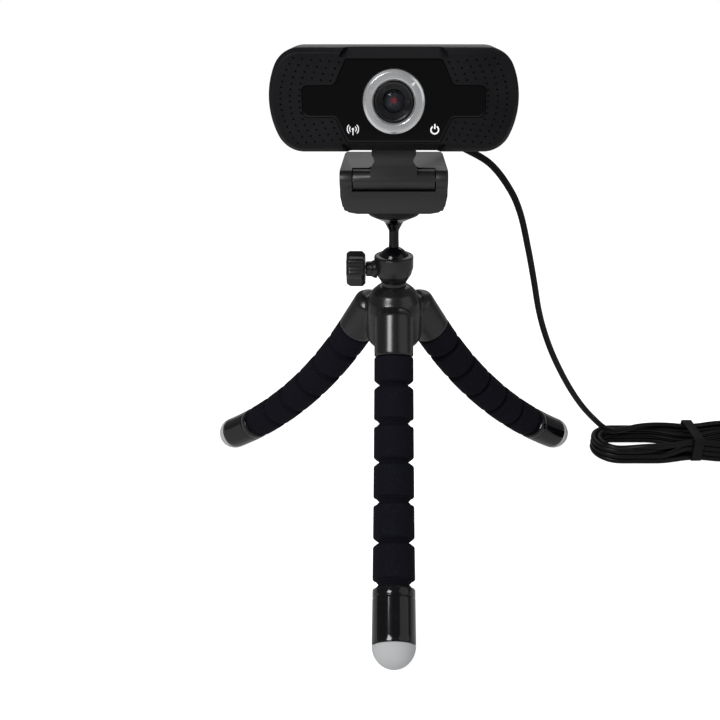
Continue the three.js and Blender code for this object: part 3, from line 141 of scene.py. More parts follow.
class NodeGroup(Nodes):
    """A shader node group with named float inputs and outputs, built once."""

    def __init__(self, name: str, inputs: dict[str, float], outputs: Sequence[str]) -> None:
        """Makes the empty group.

        Args:
            name: the group's name.
            inputs: its inputs and their defaults.
            outputs: its outputs.
        """
        super().__init__(bpy.data.node_groups.new(name, "ShaderNodeTree"))
        face = self.tree.interface
        for label, value in inputs.items():
            face.new_socket(label, in_out="INPUT", socket_type="NodeSocketFloat").default_value = value
        for label in outputs:
            face.new_socket(label, in_out="OUTPUT", socket_type="NodeSocketFloat")
        self.source = self.node("NodeGroupInput")
        self.target = self.node("NodeGroupOutput")

    def given(self, label: str) -> NodeSocket:
        """One of the group's own inputs."""
        return self.source.outputs[label]

    def place(self) -> NodeSocket:
        """The surface point in the object's own coordinates."""
        return self.node("ShaderNodeTexCoord").outputs["Object"]

    def noise(self, scale: NodeSocket | float, detail: float = 2.0) -> NodeSocket:
        """Noise over the object, from 0 to 1."""
        inputs = {"Vector": self.place(), "Scale": scale, "Detail": detail}
        return self.node("ShaderNodeTexNoise", inputs).outputs["Fac"]

    def maths(self, operation: str, first: object, second: object = 0.5) -> NodeSocket:
        """The result of a Math node on two sockets or numbers."""
        return self.node("ShaderNodeMath", {0: first, 1: second}, operation=operation).outputs[0]

    def ramp(self, value: NodeSocket, low: float, high: float) -> NodeSocket:
        """A value stretched softly from low..high to 0..1 and clamped."""
        inputs = {"Value": value, "From Min": low, "From Max": high}
        return self.node("ShaderNodeMapRange", inputs, interpolation_type="SMOOTHSTEP").outputs["Result"]

    def closed(self, **outputs: NodeSocket) -> NodeTree:
        """Ends the group.

        Args:
            outputs: what each output gives.

        Returns:
            The group's tree.
        """
        for label, value in outputs.items():
            self.put(value, self.target.inputs[label])
        return self.tree


def grain_group() -> NodeTree:
    """Moulded grain: a fine height with a slow, cloudy tone.

    Returns:
        The group.
    """
    group = NodeGroup("moulded_grain", {"Scale": 900.0, "Cloud Scale": 40.0}, ("Height", "Tone"))
    fine = group.noise(group.given("Scale"), detail=4.0)
    slow = group.noise(group.given("Cloud Scale"), detail=3.0)
    return group.closed(Height=fine, Tone=group.ramp(slow, 0.3, 0.7))


def foam_group() -> NodeTree:
    """Closed foam cells: small pits beside each other over a slow swell.

    Returns:
        The group.
    """
    group = NodeGroup("foam_cells", {"Cells": 1500.0}, ("Height", "Pits"))
    inputs = {"Vector": group.place(), "Scale": group.given("Cells")}
    cells = group.node("ShaderNodeTexVoronoi", inputs, feature="F1")
    pits = group.ramp(cells.outputs["Distance"], 0.0, 0.55)
    swell = group.maths("MULTIPLY", group.noise(260.0), 1.5)
    return group.closed(Height=group.maths("ADD", pits, swell), Pits=pits)


def wear_group() -> NodeTree:
    """Edges rubbed paler, broken up so that the line isn't even.

    Returns:
        The group.
    """
    group = NodeGroup("edge_wear", {"Amount": 0.4, "Breakup": 120.0}, ("Mask",))
    edge = group.ramp(group.node("ShaderNodeNewGeometry").outputs["Pointiness"], 0.51, 0.58)
    broken = group.maths("MULTIPLY", edge, group.ramp(group.noise(group.given("Breakup")), 0.35, 0.65))
    return group.closed(Mask=group.maths("MULTIPLY", broken, group.given("Amount")))


def dust_group() -> NodeTree:
    """Dust that settles on faces that look up, in specks and thin patches.

    Returns:
        The group.
    """
    group = NodeGroup("settled_dust", {"Amount": 0.1, "Specks": 700.0}, ("Mask",))
    normal = group.node("ShaderNodeNewGeometry").outputs["Normal"]
    upward = group.ramp(group.node("ShaderNodeSeparateXYZ", {0: normal}).outputs["Z"], 0.2, 0.95)
    specks = group.ramp(group.noise(group.given("Specks"), detail=6.0), 0.5, 0.75)
    lying = group.maths("MULTIPLY", upward, specks)
    return group.closed(Mask=group.maths("MULTIPLY", lying, group.given("Amount")))


GROUPS: dict[str, NodeTree] = {
    "grain": grain_group(),
    "foam": foam_group(),
    "wear": wear_group(),
    "dust": dust_group(),
}


# ---------------------------------------------------------------- finishes

DUST_COLOUR = (0.35, 0.34, 0.32)
DUST_DULLING = 0.5
COAT_ROUGHNESS = 0.06
SCATTER = (0.003, 0.003, 0.003)
BUMP_STRENGTH = 0.6


class Surface(Enum):
    """What a finish's fine relief comes from."""

    MOULDED = "grain"
    FOAM = "foam"


def blank_material(name: str, **constants: object) -> tuple[Material, Nodes, Node]:
    """A new material with constants on its shader.

    Args:
        name: its name.
        constants: what the shader's inputs are set to, with underscores for the spaces in their names.

    Returns:
        The material, its nodes and its shader.
    """
    material = bpy.data.materials.new(name)
    material.use_nodes = True
    shader = material.node_tree.nodes["Principled BSDF"]
    for label, value in constants.items():
        shader.inputs[label.replace("_", " ")].default_value = value
    return material, Nodes(material.node_tree), shader


@dataclass(frozen=True)
class Finish:
    """One material: its colour, gloss, fine relief, wear and dust, and any painted glow.

    Colours are linear. `relief` is the bump's depth in millimetres and `scale` its fineness per metre.
    """

    name: str
    colour: Colour
    roughness: float
    metallic: float = 0.0
    coat: float = 0.0
    specular: float = 0.5
    surface: Surface = Surface.MOULDED
    scale: float = 1200.0
    relief: float = 0.02
    tone: float = 0.12
    wear: float = 0.25
    worn: Colour = (0.12, 0.12, 0.13)
    dust: float = 0.05
    transmission: float = 0.0
    subsurface: float = 0.0
    # Emission strength: a painted glow, light given off by a surface that is no lamp.
    painted_glow: float = 0.0

    def material(self) -> Material:
        """The finish's material, built the first time it is asked for.

        Returns:
            The Blender material.
        """
        if self.name in bpy.data.materials:
            return bpy.data.materials[self.name]
        # Emission strength comes from the finish's painted glow, and is zero unless it is set.
        material, tree, shader = blank_material(
            self.name, Metallic=self.metallic, Coat_Weight=self.coat, Coat_Roughness=COAT_ROUGHNESS,
            Specular_IOR_Level=self.specular, Transmission_Weight=self.transmission,
            Subsurface_Weight=self.subsurface, Subsurface_Radius=SCATTER, Emission_Strength=self.painted_glow,
            Emission_Color=(*self.colour, 1.0),
        )
        relief = tree.node("ShaderNodeGroup", {0: self.scale}, node_tree=GROUPS[self.surface.value])
        wear, dust = (
            tree.node("ShaderNodeGroup", {"Amount": amount}, node_tree=GROUPS[word]).outputs["Mask"]
            for word, amount in (("wear", self.wear), ("dust", self.dust))
        )
        tone = relief.outputs[1]
        low, high = 1 - self.tone, 1 + self.tone
        dark, pale = (tuple(channel * share for channel in self.colour) for share in (low, high))
        rubbed = tree.mix(wear, tree.mix(tone, dark, pale), self.worn)
        tree.put(tree.mix(dust, rubbed, DUST_COLOUR), shader.inputs["Base Color"])
        span = {"To Min": max(0.0, self.roughness * low), "To Max": min(1.0, self.roughness * high)}
        rough = tree.node("ShaderNodeMapRange", {"Value": tone, **span})
        dulled = {0: dust, 1: DUST_DULLING, 2: rough.outputs["Result"]}
        duller = tree.node("ShaderNodeMath", dulled, operation="MULTIPLY_ADD")
        tree.put(duller.outputs[0], shader.inputs["Roughness"])
        bump = tree.node("ShaderNodeBump", {
            "Strength": BUMP_STRENGTH, "Distance": self.relief * MM, "Height": relief.outputs["Height"],
        })
        tree.put(bump.outputs["Normal"], shader.inputs["Normal"])
        return material


FOAM = Finish("leg_foam", (0.0052, 0.0054, 0.0092), 0.72, surface=Surface.FOAM, scale=1700.0, relief=0.05,
              tone=0.25, wear=0.15, worn=(0.016, 0.017, 0.022), dust=0.015, specular=0.1)
SLEEVE = Finish("leg_end_gloss", (0.0025, 0.0026, 0.004), 0.12, coat=0.3, specular=0.3, relief=0.006,
                scale=500.0, wear=0.1, dust=0.01)
TIP = Finish("tip_rubber", (0.5, 0.5, 0.5), 0.5, relief=0.012, scale=700.0, tone=0.05, wear=0.15,
             specular=0.3, worn=(0.62, 0.62, 0.62), dust=0.08, subsurface=0.2)
TRIPOD = Finish("tripod_plastic", (0.0016, 0.0017, 0.0026), 0.27, coat=0.02, specular=0.05, relief=0.014,
                scale=900.0, wear=0.15, worn=(0.022, 0.022, 0.027), dust=0.006)
STEM = Finish("stem_gloss", (0.0025, 0.0025, 0.0035), 0.18, coat=0.15, specular=0.22, relief=0.006,
              scale=600.0, wear=0.3, worn=(0.05, 0.05, 0.055), dust=0.01)
CLIP = Finish("clip_plastic", (0.0022, 0.0023, 0.003), 0.33, relief=0.03, scale=1600.0, wear=0.15,
              specular=0.05, worn=(0.025, 0.025, 0.028), dust=0.006)
BEZEL = Finish("bezel_satin", (0.0075, 0.0075, 0.009), 0.46, relief=0.03, scale=2200.0, wear=0.06,
               specular=0.16, worn=(0.03, 0.03, 0.033), dust=0.012)
SHELL = Finish("shell_satin", (0.005, 0.0051, 0.006), 0.34, relief=0.02, scale=1500.0, wear=0.2,
               specular=0.14, worn=(0.03, 0.03, 0.033), dust=0.012)
PANEL = Finish("panel_gloss", (0.0012, 0.0012, 0.0016), 0.08, coat=0.2, specular=0.25, relief=0.002,
               scale=200.0, wear=0.0, dust=0.006)
SILVER = Finish("ring_silver", (0.9, 0.91, 0.93), 0.24, metallic=0.8, relief=0.006, scale=2500.0, tone=0.05,
                wear=0.2, worn=(0.9, 0.9, 0.92), dust=0.0)
INDEX = Finish("ring_index", (0.9, 0.9, 0.9), 0.35, relief=0.004, wear=0.0, dust=0.0, tone=0.02)
BARREL = Finish("barrel_black", (0.008, 0.008, 0.0095), 0.28, relief=0.008, scale=1800.0, wear=0.35,
                worn=(0.14, 0.14, 0.15), dust=0.0)
STEEL = Finish("steel", (0.5, 0.51, 0.53), 0.3, metallic=1.0, relief=0.01, scale=1500.0, tone=0.08,
               wear=0.2, worn=(0.8, 0.8, 0.82))
BRASS = Finish("brass", (0.62, 0.42, 0.16), 0.33, metallic=1.0, relief=0.01, tone=0.08, wear=0.2,
               worn=(0.85, 0.65, 0.3))
RUBBER = Finish("black_rubber", (0.01, 0.01, 0.011), 0.75, relief=0.05, scale=1400.0, wear=0.2,
                specular=0.25, worn=(0.03, 0.03, 0.032), dust=0.04)
CORD = Finish("cord_jacket", (0.0032, 0.0032, 0.004), 0.42, relief=0.02, scale=1300.0, wear=0.1,
              specular=0.22, worn=(0.02, 0.02, 0.02), dust=0.015)
TIE = Finish("cord_tie", (0.005, 0.005, 0.006), 0.55, relief=0.06, scale=1100.0, wear=0.3, specular=0.22,
             worn=(0.03, 0.03, 0.03), dust=0.02)
PLUG = Finish("plug_rubber", (0.005, 0.005, 0.006), 0.45, relief=0.03, scale=1200.0, wear=0.25,
              specular=0.25, worn=(0.03, 0.03, 0.03), dust=0.02)
PLUG_TONGUE = Finish("plug_shell_steel", (0.56, 0.57, 0.59), 0.22, metallic=1.0, relief=0.008, scale=900.0,
                     tone=0.06, wear=0.2, worn=(0.8, 0.8, 0.82), dust=0.02)
BOARD = Finish("solder_mask", (0.01, 0.06, 0.025), 0.35, relief=0.03, scale=700.0, tone=0.3)
GLASS = Finish("lens_glass", (0.75, 0.78, 0.85), 0.02, transmission=1.0, relief=0.0, tone=0.01, wear=0.0,
               dust=0.0, coat=0.3)
# The marks: printed white, and glowing with painted light as well.
PRINT_WITH_PAINTED_GLOW = Finish("white_marks", (0.92, 0.93, 0.95), 0.4, relief=0.004, tone=0.01, wear=0.0, dust=0.0,
              painted_glow=0.35)
LIGHT = Finish("light_pipe", (0.7, 0.75, 0.8), 0.3, relief=0.006, tone=0.05, wear=0.05, subsurface=0.3)
# Near black, for the pegs left on the holes' floors: painted shade in the holes.
HOLE_SHADE = Finish("painted_hole_shade", (0.0008, 0.0008, 0.001), 0.8, relief=0.01, wear=0.0, dust=0.0, specular=0.1)


def painted_iris_material(centre: Vector) -> Material:
    """The lens's inner glass, with a painted reflection half pale and half black across a slant, painted
    shade towards its rim and a small glowing red painted glint in the middle.

    Args:
        centre: the lens's middle in the row frame.

    Returns:
        The material.
    """
    group = NodeGroup("lens_painted_light", {"Radius": 0.0036}, ("Split", "Rim", "Gleam"))
    mapping = group.node("ShaderNodeMapping", {"Vector": group.place(), "Location": -centre})
    split = group.node("ShaderNodeSeparateXYZ", {0: mapping.outputs[0]})
    across, up = split.outputs["X"], split.outputs["Z"]
    slant = group.maths("ADD", group.maths("MULTIPLY", across, -0.86), group.maths("MULTIPLY", up, 0.5))
    squares = group.maths("ADD", group.maths("MULTIPLY", across, across), group.maths("MULTIPLY", up, up))
    spread = group.maths("DIVIDE", group.maths("SQRT", squares), group.given("Radius"))
    # The masks: a painted reflection across the slant, painted shade towards the rim and a painted glint in
    # the middle.
    made = group.closed(
        Split=group.ramp(slant, -0.0002, 0.0002),
        Rim=group.ramp(spread, 0.55, 1.0),
        Gleam=group.maths("SUBTRACT", 1.0, group.ramp(spread, 0.03, 0.42)),
    )
    # The iris glows by itself: its red painted glint gives off light.
    material, tree, shader = blank_material("lens_iris", Roughness=0.12, Emission_Strength=0.5)
    masks = tree.node("ShaderNodeGroup", node_tree=made).outputs
    # Painted reflection: pale on one side of the slant and black on the other.
    painted_reflection = tree.mix(masks["Split"], (0.002, 0.002, 0.003), (0.12, 0.125, 0.13))
    # Painted shade: darker towards the rim, inside the barrel.
    painted_reflection_and_shade = tree.mix(masks["Rim"], painted_reflection, (0.001, 0.001, 0.002))
    # Painted glint: red in the middle, and glowing red there.
    tree.put(tree.mix(masks["Gleam"], painted_reflection_and_shade, (0.45, 0.03, 0.04)), shader.inputs["Base Color"])
    painted_glow = tree.mix(masks["Gleam"], (0.0, 0.0, 0.0), (0.55, 0.03, 0.05))
    tree.put(painted_glow, shader.inputs["Emission Color"])
    return material


# ---------------------------------------------------------------- building meshes

FILLET_SHARE = 0.49
NARROW = 1e-6
SAME_POINT = 2e-6
FLAT_ANGLE = math.radians(0.6)
BEVEL_ANGLE = math.radians(28)
BEVEL_STEPS = 3
PEG_SIDES = 12


def filleted(corners: Iterable[Corner], closed: bool = True, steps: int = 6) -> list[Pair]:
    """A line through corners, with each corner rounded.

    Args:
        corners: each a place (u, v) and its fillet radius.
        closed: whether the line comes back to its start.
        steps: points in each rounded corner.

    Returns:
        The rounded line's points.
    """
    points = list(corners)
    line: list[Pair] = []
    for i, (u, v, radius) in enumerate(points):
        if radius <= 0 or (not closed and i in (0, len(points) - 1)):
            line.append((u, v))
            continue
        here = Vector((u, v))
        before = Vector(points[i - 1][:2]) - here
        after = Vector(points[(i + 1) % len(points)][:2]) - here
        half = before.angle(after) / 2
        reach = min(radius / math.tan(half), *(side.length * FILLET_SHARE for side in (before, after)))
        start, end = here + before.normalized() * reach, here + after.normalized() * reach
        for t in (step / steps for step in range(steps + 1)):
            bend = start * (1 - t) ** 2 + here * 2 * t * (1 - t) + end * t ** 2
            line.append((bend.x, bend.y))
    return line


def arc(u: float, v: float, radius: float, first: float, last: float, count: int) -> list[Pair]:
    """Points evenly along an arc.

    Args:
        u: the first coordinate of its centre.
        v: the second.
        radius: its radius.
        first: the angle that it starts at, in radians.
        last: the angle that it ends at.
        count: how many parts it has.

    Returns:
        The points, both ends among them.
    """
    angles = (first + (last - first) * i / count for i in range(count + 1))
    return [(u + radius * math.cos(a), v + radius * math.sin(a)) for a in angles]


def lathe(profile: Sequence[Pair], place: Place, sides: int = 72) -> Form:
    """A closed shape turned from a profile.

    Args:
        profile: (radius, along) pairs; a radius of 0 closes an end, and a profile that ends where it starts
            makes a ring.
        place: puts (radius, along, angle) in the row frame.
        sides: how many sides a turn has.

    Returns:
        The mesh being built, faces out.
    """
    form = bmesh.new()
    ring_shaped = profile[0] == profile[-1]
    rings = []
    for radius, along in (profile[:-1] if ring_shaped else profile):
        if radius < NARROW:
            rings.append([form.verts.new(place(0.0, along, 0.0))])
        else:
            rings.append([form.verts.new(place(radius, along, TURN * i / sides)) for i in range(sides)])
    pairs = list(zip(rings, rings[1:]))
    if ring_shaped:
        pairs.append((rings[-1], rings[0]))
    for low, high in pairs:
        for i in range(sides):
            j = (i + 1) % sides
            corners = [low[i % len(low)], low[j % len(low)], high[j % len(high)], high[i % len(high)]]
            unique = list(dict.fromkeys(corners))
            if len(unique) > 2:
                form.faces.new(unique)
    bmesh.ops.recalc_face_normals(form, faces=form.faces)
    return form


def joined(form: Form, rings: Sequence[Sequence[bmesh.types.BMVert]], closed: bool = False) -> None:
    """Adds faces between rings of as many points each.

    Args:
        form: the mesh being built.
        rings: the rings in order.
        closed: whether the last meets the first; if it doesn't, both are capped.
    """
    pairs = list(zip(rings, rings[1:])) + ([(rings[-1], rings[0])] if closed else [])
    for low, high in pairs:
        for i in range(len(low)):
            j = (i + 1) % len(low)
            form.faces.new((low[i], low[j], high[j], high[i]))
    if not closed:
        form.faces.new(rings[0])
        form.faces.new(rings[-1])


def loft(rings: Sequence[Sequence[Vector]]) -> Form:
    """A closed shape through rings of as many points each, capped at both ends.

    Args:
        rings: the rings in order.

    Returns:
        The mesh being built, faces out.
    """
    form = bmesh.new()
    joined(form, [[form.verts.new(point) for point in ring] for ring in rings])
    bmesh.ops.recalc_face_normals(form, faces=form.faces)
    return form


def around_x(centre: Vector) -> Place:
    """Places a turned shape about a line along X through the centre, in millimetres."""
    return lambda r, h, a: centre + Vector((h, r * math.cos(a), r * math.sin(a))) * MM


def around_y(centre: Vector) -> Place:
    """Places a turned shape about a line along Y through the centre, in millimetres."""
    return lambda r, h, a: centre + Vector((r * math.cos(a), h, r * math.sin(a))) * MM


def around_z(centre: Vector) -> Place:
    """Places a turned shape about a line along Z through the centre, in millimetres."""
    return lambda r, h, a: centre + Vector((r * math.cos(a), r * math.sin(a), h)) * MM


def new_object(name: str, form: Form) -> Object:
    """Ends a mesh and puts it in the scene.

    Args:
        name: the object's name.
        form: the mesh being built, which is then gone.

    Returns:
        The object.
    """
    mesh = bpy.data.meshes.new(name)
    form.to_mesh(mesh)
    form.free()
    return linked(name, mesh)


def linked(name: str, data: bpy.types.ID) -> Object:
    """Puts an object with this data in the scene.

    Args:
        name: the object's name.
        data: its mesh, curve, lamp or camera.

    Returns:
        The object.
    """
    made = bpy.data.objects.new(name, data)
    bpy.context.scene.collection.objects.link(made)
    return made


def evaluated(piece: Object) -> Object:
    """Makes a piece's modifiers part of its mesh.

    Args:
        piece: the piece, whose modifiers are removed.

    Returns:
        The same piece.
    """
    bpy.context.view_layer.update()
    graph = bpy.context.evaluated_depsgraph_get()
    plain = bpy.data.meshes.new_from_object(piece.evaluated_get(graph))
    piece.modifiers.clear()
    piece.data = plain
    return piece


def carve(piece: Object, tools: Iterable[Object], operation: str = "DIFFERENCE") -> Object:
    """Cuts a piece with tools or joins them to it; the tools are then gone.

    Args:
        piece: the piece to change.
        tools: closed meshes.
        operation: DIFFERENCE or UNION.

    Returns:
        The changed piece.
    """
    spent = list(tools)
    for tool in spent:
        step = piece.modifiers.new("carve", "BOOLEAN")
        step.operation = operation
        step.solver = "EXACT"
        step.object = tool
    evaluated(piece)
    for tool in spent:
        bpy.data.objects.remove(tool, do_unlink=True)
    return piece


def cad_copy(node: str, name: str) -> Object:
    """A copy of a CAD node's mesh, merged and with its flat faces whole again.

    Args:
        node: the CAD node.
        name: the copy's name.

    Returns:
        The copy.
    """
    form = bmesh.new()
    form.from_mesh(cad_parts[node].data)
    bmesh.ops.remove_doubles(form, verts=form.verts, dist=SAME_POINT)
    bmesh.ops.dissolve_limit(form, angle_limit=FLAT_ANGLE, verts=form.verts, edges=form.edges)
    return new_object(name, form)


def complete(
    piece: Object,
    finish: Finish | Material,
    body: str,
    replaces: Sequence[str] = (),
    smooth: float = 35.0,
    bevel: float = 0.0,
) -> Object:
    """Smooths, dresses and mounts a finished piece.

    Args:
        piece: the piece, with its place in its mesh.
        finish: its finish, or a material made for it.
        body: the CAD body that it moves with, or nothing for a piece between two, which is then left
            unmounted.
        replaces: CAD nodes that it stands for.
        smooth: the sharpest edge in degrees that still shades smooth.
        bevel: the width in millimetres to which its sharp edges are broken.

    Returns:
        The piece.
    """
    if bevel > 0:
        edge = piece.modifiers.new("broken_edges", "BEVEL")
        edge.width = bevel * MM
        edge.segments = BEVEL_STEPS
        edge.limit_method = "ANGLE"
        edge.angle_limit = BEVEL_ANGLE
        edge.use_clamp_overlap = True
        evaluated(piece)
    mesh: Mesh = piece.data
    mesh.shade_smooth()
    mesh.set_sharp_from_angle(angle=math.radians(smooth))
    mesh.materials.clear()
    mesh.materials.append(finish if isinstance(finish, Material) else finish.material())
    mesh.update()
    if body:
        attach(piece, body)
    if replaces:
        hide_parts(*replaces)
    log.info("%s: %d faces on %s", piece.name, len(mesh.polygons), body or "two bodies")
    return piece


def repeat_tree(name: str) -> tuple[NodeTree, dict[str, str]]:
    """A Geometry Nodes tree that sets a small round peg on every point of a mesh.

    Args:
        name: the tree's name.

    Returns:
        The tree, and each input's identifier by its name.
    """
    tree = bpy.data.node_groups.new(name, "GeometryNodeTree")
    face = tree.interface
    face.new_socket("Geometry", in_out="INPUT", socket_type="NodeSocketGeometry")
    kinds = {"Radius": "Float", "Depth": "Float", "Sides": "Int", "Turn": "Vector", "Finish": "Material"}
    sizes = {label: face.new_socket(label, in_out="INPUT", socket_type=f"NodeSocket{kind}").identifier
             for label, kind in kinds.items()}
    face.new_socket("Geometry", in_out="OUTPUT", socket_type="NodeSocketGeometry")
    source, target, peg, points, place, real, paint = (tree.nodes.new(kind) for kind in (
        "NodeGroupInput", "NodeGroupOutput", "GeometryNodeMeshCylinder", "GeometryNodeMeshToPoints",
        "GeometryNodeInstanceOnPoints", "GeometryNodeRealizeInstances", "GeometryNodeSetMaterial",
    ))
    for giver, output, taker, slot in (
        (source, "Geometry", points, "Mesh"),
        (source, "Sides", peg, "Vertices"),
        (source, "Radius", peg, "Radius"),
        (source, "Depth", peg, "Depth"),
        (points, "Points", place, "Points"),
        (peg, "Mesh", place, "Instance"),
        (source, "Turn", place, "Rotation"),
        (place, "Instances", real, "Geometry"),
        (real, "Geometry", paint, "Geometry"),
        (source, "Finish", paint, "Material"),
        (paint, "Geometry", target, "Geometry"),
    ):
        tree.links.new(giver.outputs[output], taker.inputs[slot])
    return tree, sizes


PEGS, PEG_INPUTS = repeat_tree("pegs_on_points")


def pegs(
    name: str, points: Iterable[Vector], radius: float, depth: float, turn: Corner, finish: Finish
) -> Object:
    """Small round pegs on points, as one mesh.

    Args:
        name: the object's name.
        points: each peg's middle in the row frame.
        radius: a peg's radius in millimetres.
        depth: its length in millimetres.
        turn: its rotation from upright, in radians.
        finish: its finish.

    Returns:
        The pegs.
    """
    form = bmesh.new()
    for point in points:
        form.verts.new(point)
    made = new_object(name, form)
    step = made.modifiers.new("repeat", "NODES")
    step.node_group = PEGS
    values = {"Radius": radius * MM, "Depth": depth * MM, "Sides": PEG_SIDES, "Turn": turn,
              "Finish": finish.material()}
    for label, value in values.items():
        step[PEG_INPUTS[label]] = value
    return evaluated(made)


# ---------------------------------------------------------------- studio


@dataclass
class Studio:
    """The floor, the soft lights and the camera. The lamps are (name, place, side in metres, watts)."""

    eye: Corner = (0.0, -303.8, 221.9)
    aim: Corner = (0.0, 0.0, 76.2)
    lens: float = 37.5
    sensor: float = 36.0
    shift: float = -0.047
    near: float = 0.01
    floor_size: float = 12.0
    floor_grey: float = 0.93
    floor_roughness: float = 0.85
    floor_lift: float = 0.87
    sky: float = 0.15
    lit_point: Corner = (0.0, 0.0, 130.0)
    lamps: tuple[tuple[str, Corner, float, float], ...] = (
        ("key", (-330, -520, 620), 0.28, 3.6),
        ("fill", (650, -300, 420), 0.7, 0.9),
        ("back", (80, 650, 600), 0.6, 1.0),
    )

    @staticmethod
    def aimed(name: str, data: bpy.types.ID, place: Corner, target: Corner) -> Object:
        """Hangs a lamp or the camera, turned to a point.

        Args:
            name: its name.
            data: its data.
            place: where it hangs.
            target: what it looks at.

        Returns:
            The object.
        """
        made = linked(name, data)
        made.location = at(*place)
        made.rotation_euler = (at(*target) - made.location).to_track_quat("-Z", "Y").to_euler()
        return made

    def camera(self) -> None:
        """Looks down a little at the webcam's face from straight ahead."""
        data = bpy.data.cameras.new("camera")
        data.lens = self.lens
        data.sensor_width = self.sensor
        data.shift_x = self.shift
        data.clip_start = self.near
        bpy.context.scene.camera = self.aimed("camera", data, self.eye, self.aim)

    def lights(self) -> None:
        """Square soft lamps, aimed at the webcam's neck."""
        for name, place, size, power in self.lamps:
            data = bpy.data.lights.new(name, "AREA")
            data.shape = "SQUARE"
            data.size = size
            data.energy = power
            self.aimed(name, data, place, self.lit_point)

    def floor(self) -> None:
        """The pale floor, which glows white for the camera's eye only."""
        bpy.ops.mesh.primitive_plane_add(size=self.floor_size, location=(0, 0, 0))
        floor = bpy.context.object
        floor.name = "floor"
        grey = (self.floor_grey, self.floor_grey, self.floor_grey, 1.0)
        paint, tree, shader = blank_material("floor", Base_Color=grey, Roughness=self.floor_roughness,
                                             Emission_Color=WHITE)
        seen = tree.node("ShaderNodeLightPath").outputs["Is Camera Ray"]
        lift = tree.node("ShaderNodeMath", {0: seen, 1: self.floor_lift}, operation="MULTIPLY")
        tree.put(lift.outputs[0], shader.inputs["Emission Strength"])
        floor.data.materials.append(paint)

    def sky_light(self) -> None:
        """The world's even light: dim on the object, and white for the camera's eye."""
        world = bpy.data.worlds.new("studio")
        world.use_nodes = True
        tree = Nodes(world.node_tree)
        seen = tree.node("ShaderNodeLightPath").outputs["Is Camera Ray"]
        level = tree.node("ShaderNodeMapRange", {"Value": seen, "To Min": self.sky, "To Max": 1.0})
        backdrop = world.node_tree.nodes["Background"].inputs
        tree.put(WHITE, backdrop["Color"])
        tree.put(level.outputs["Result"], backdrop["Strength"])
        bpy.context.scene.world = world
        bpy.context.scene.view_settings.view_transform = "Standard"

    def build(self) -> None:
        """The floor, the world's light and the lamps."""
        self.floor()
        self.sky_light()
        self.lights()


# ---------------------------------------------------------------- cord


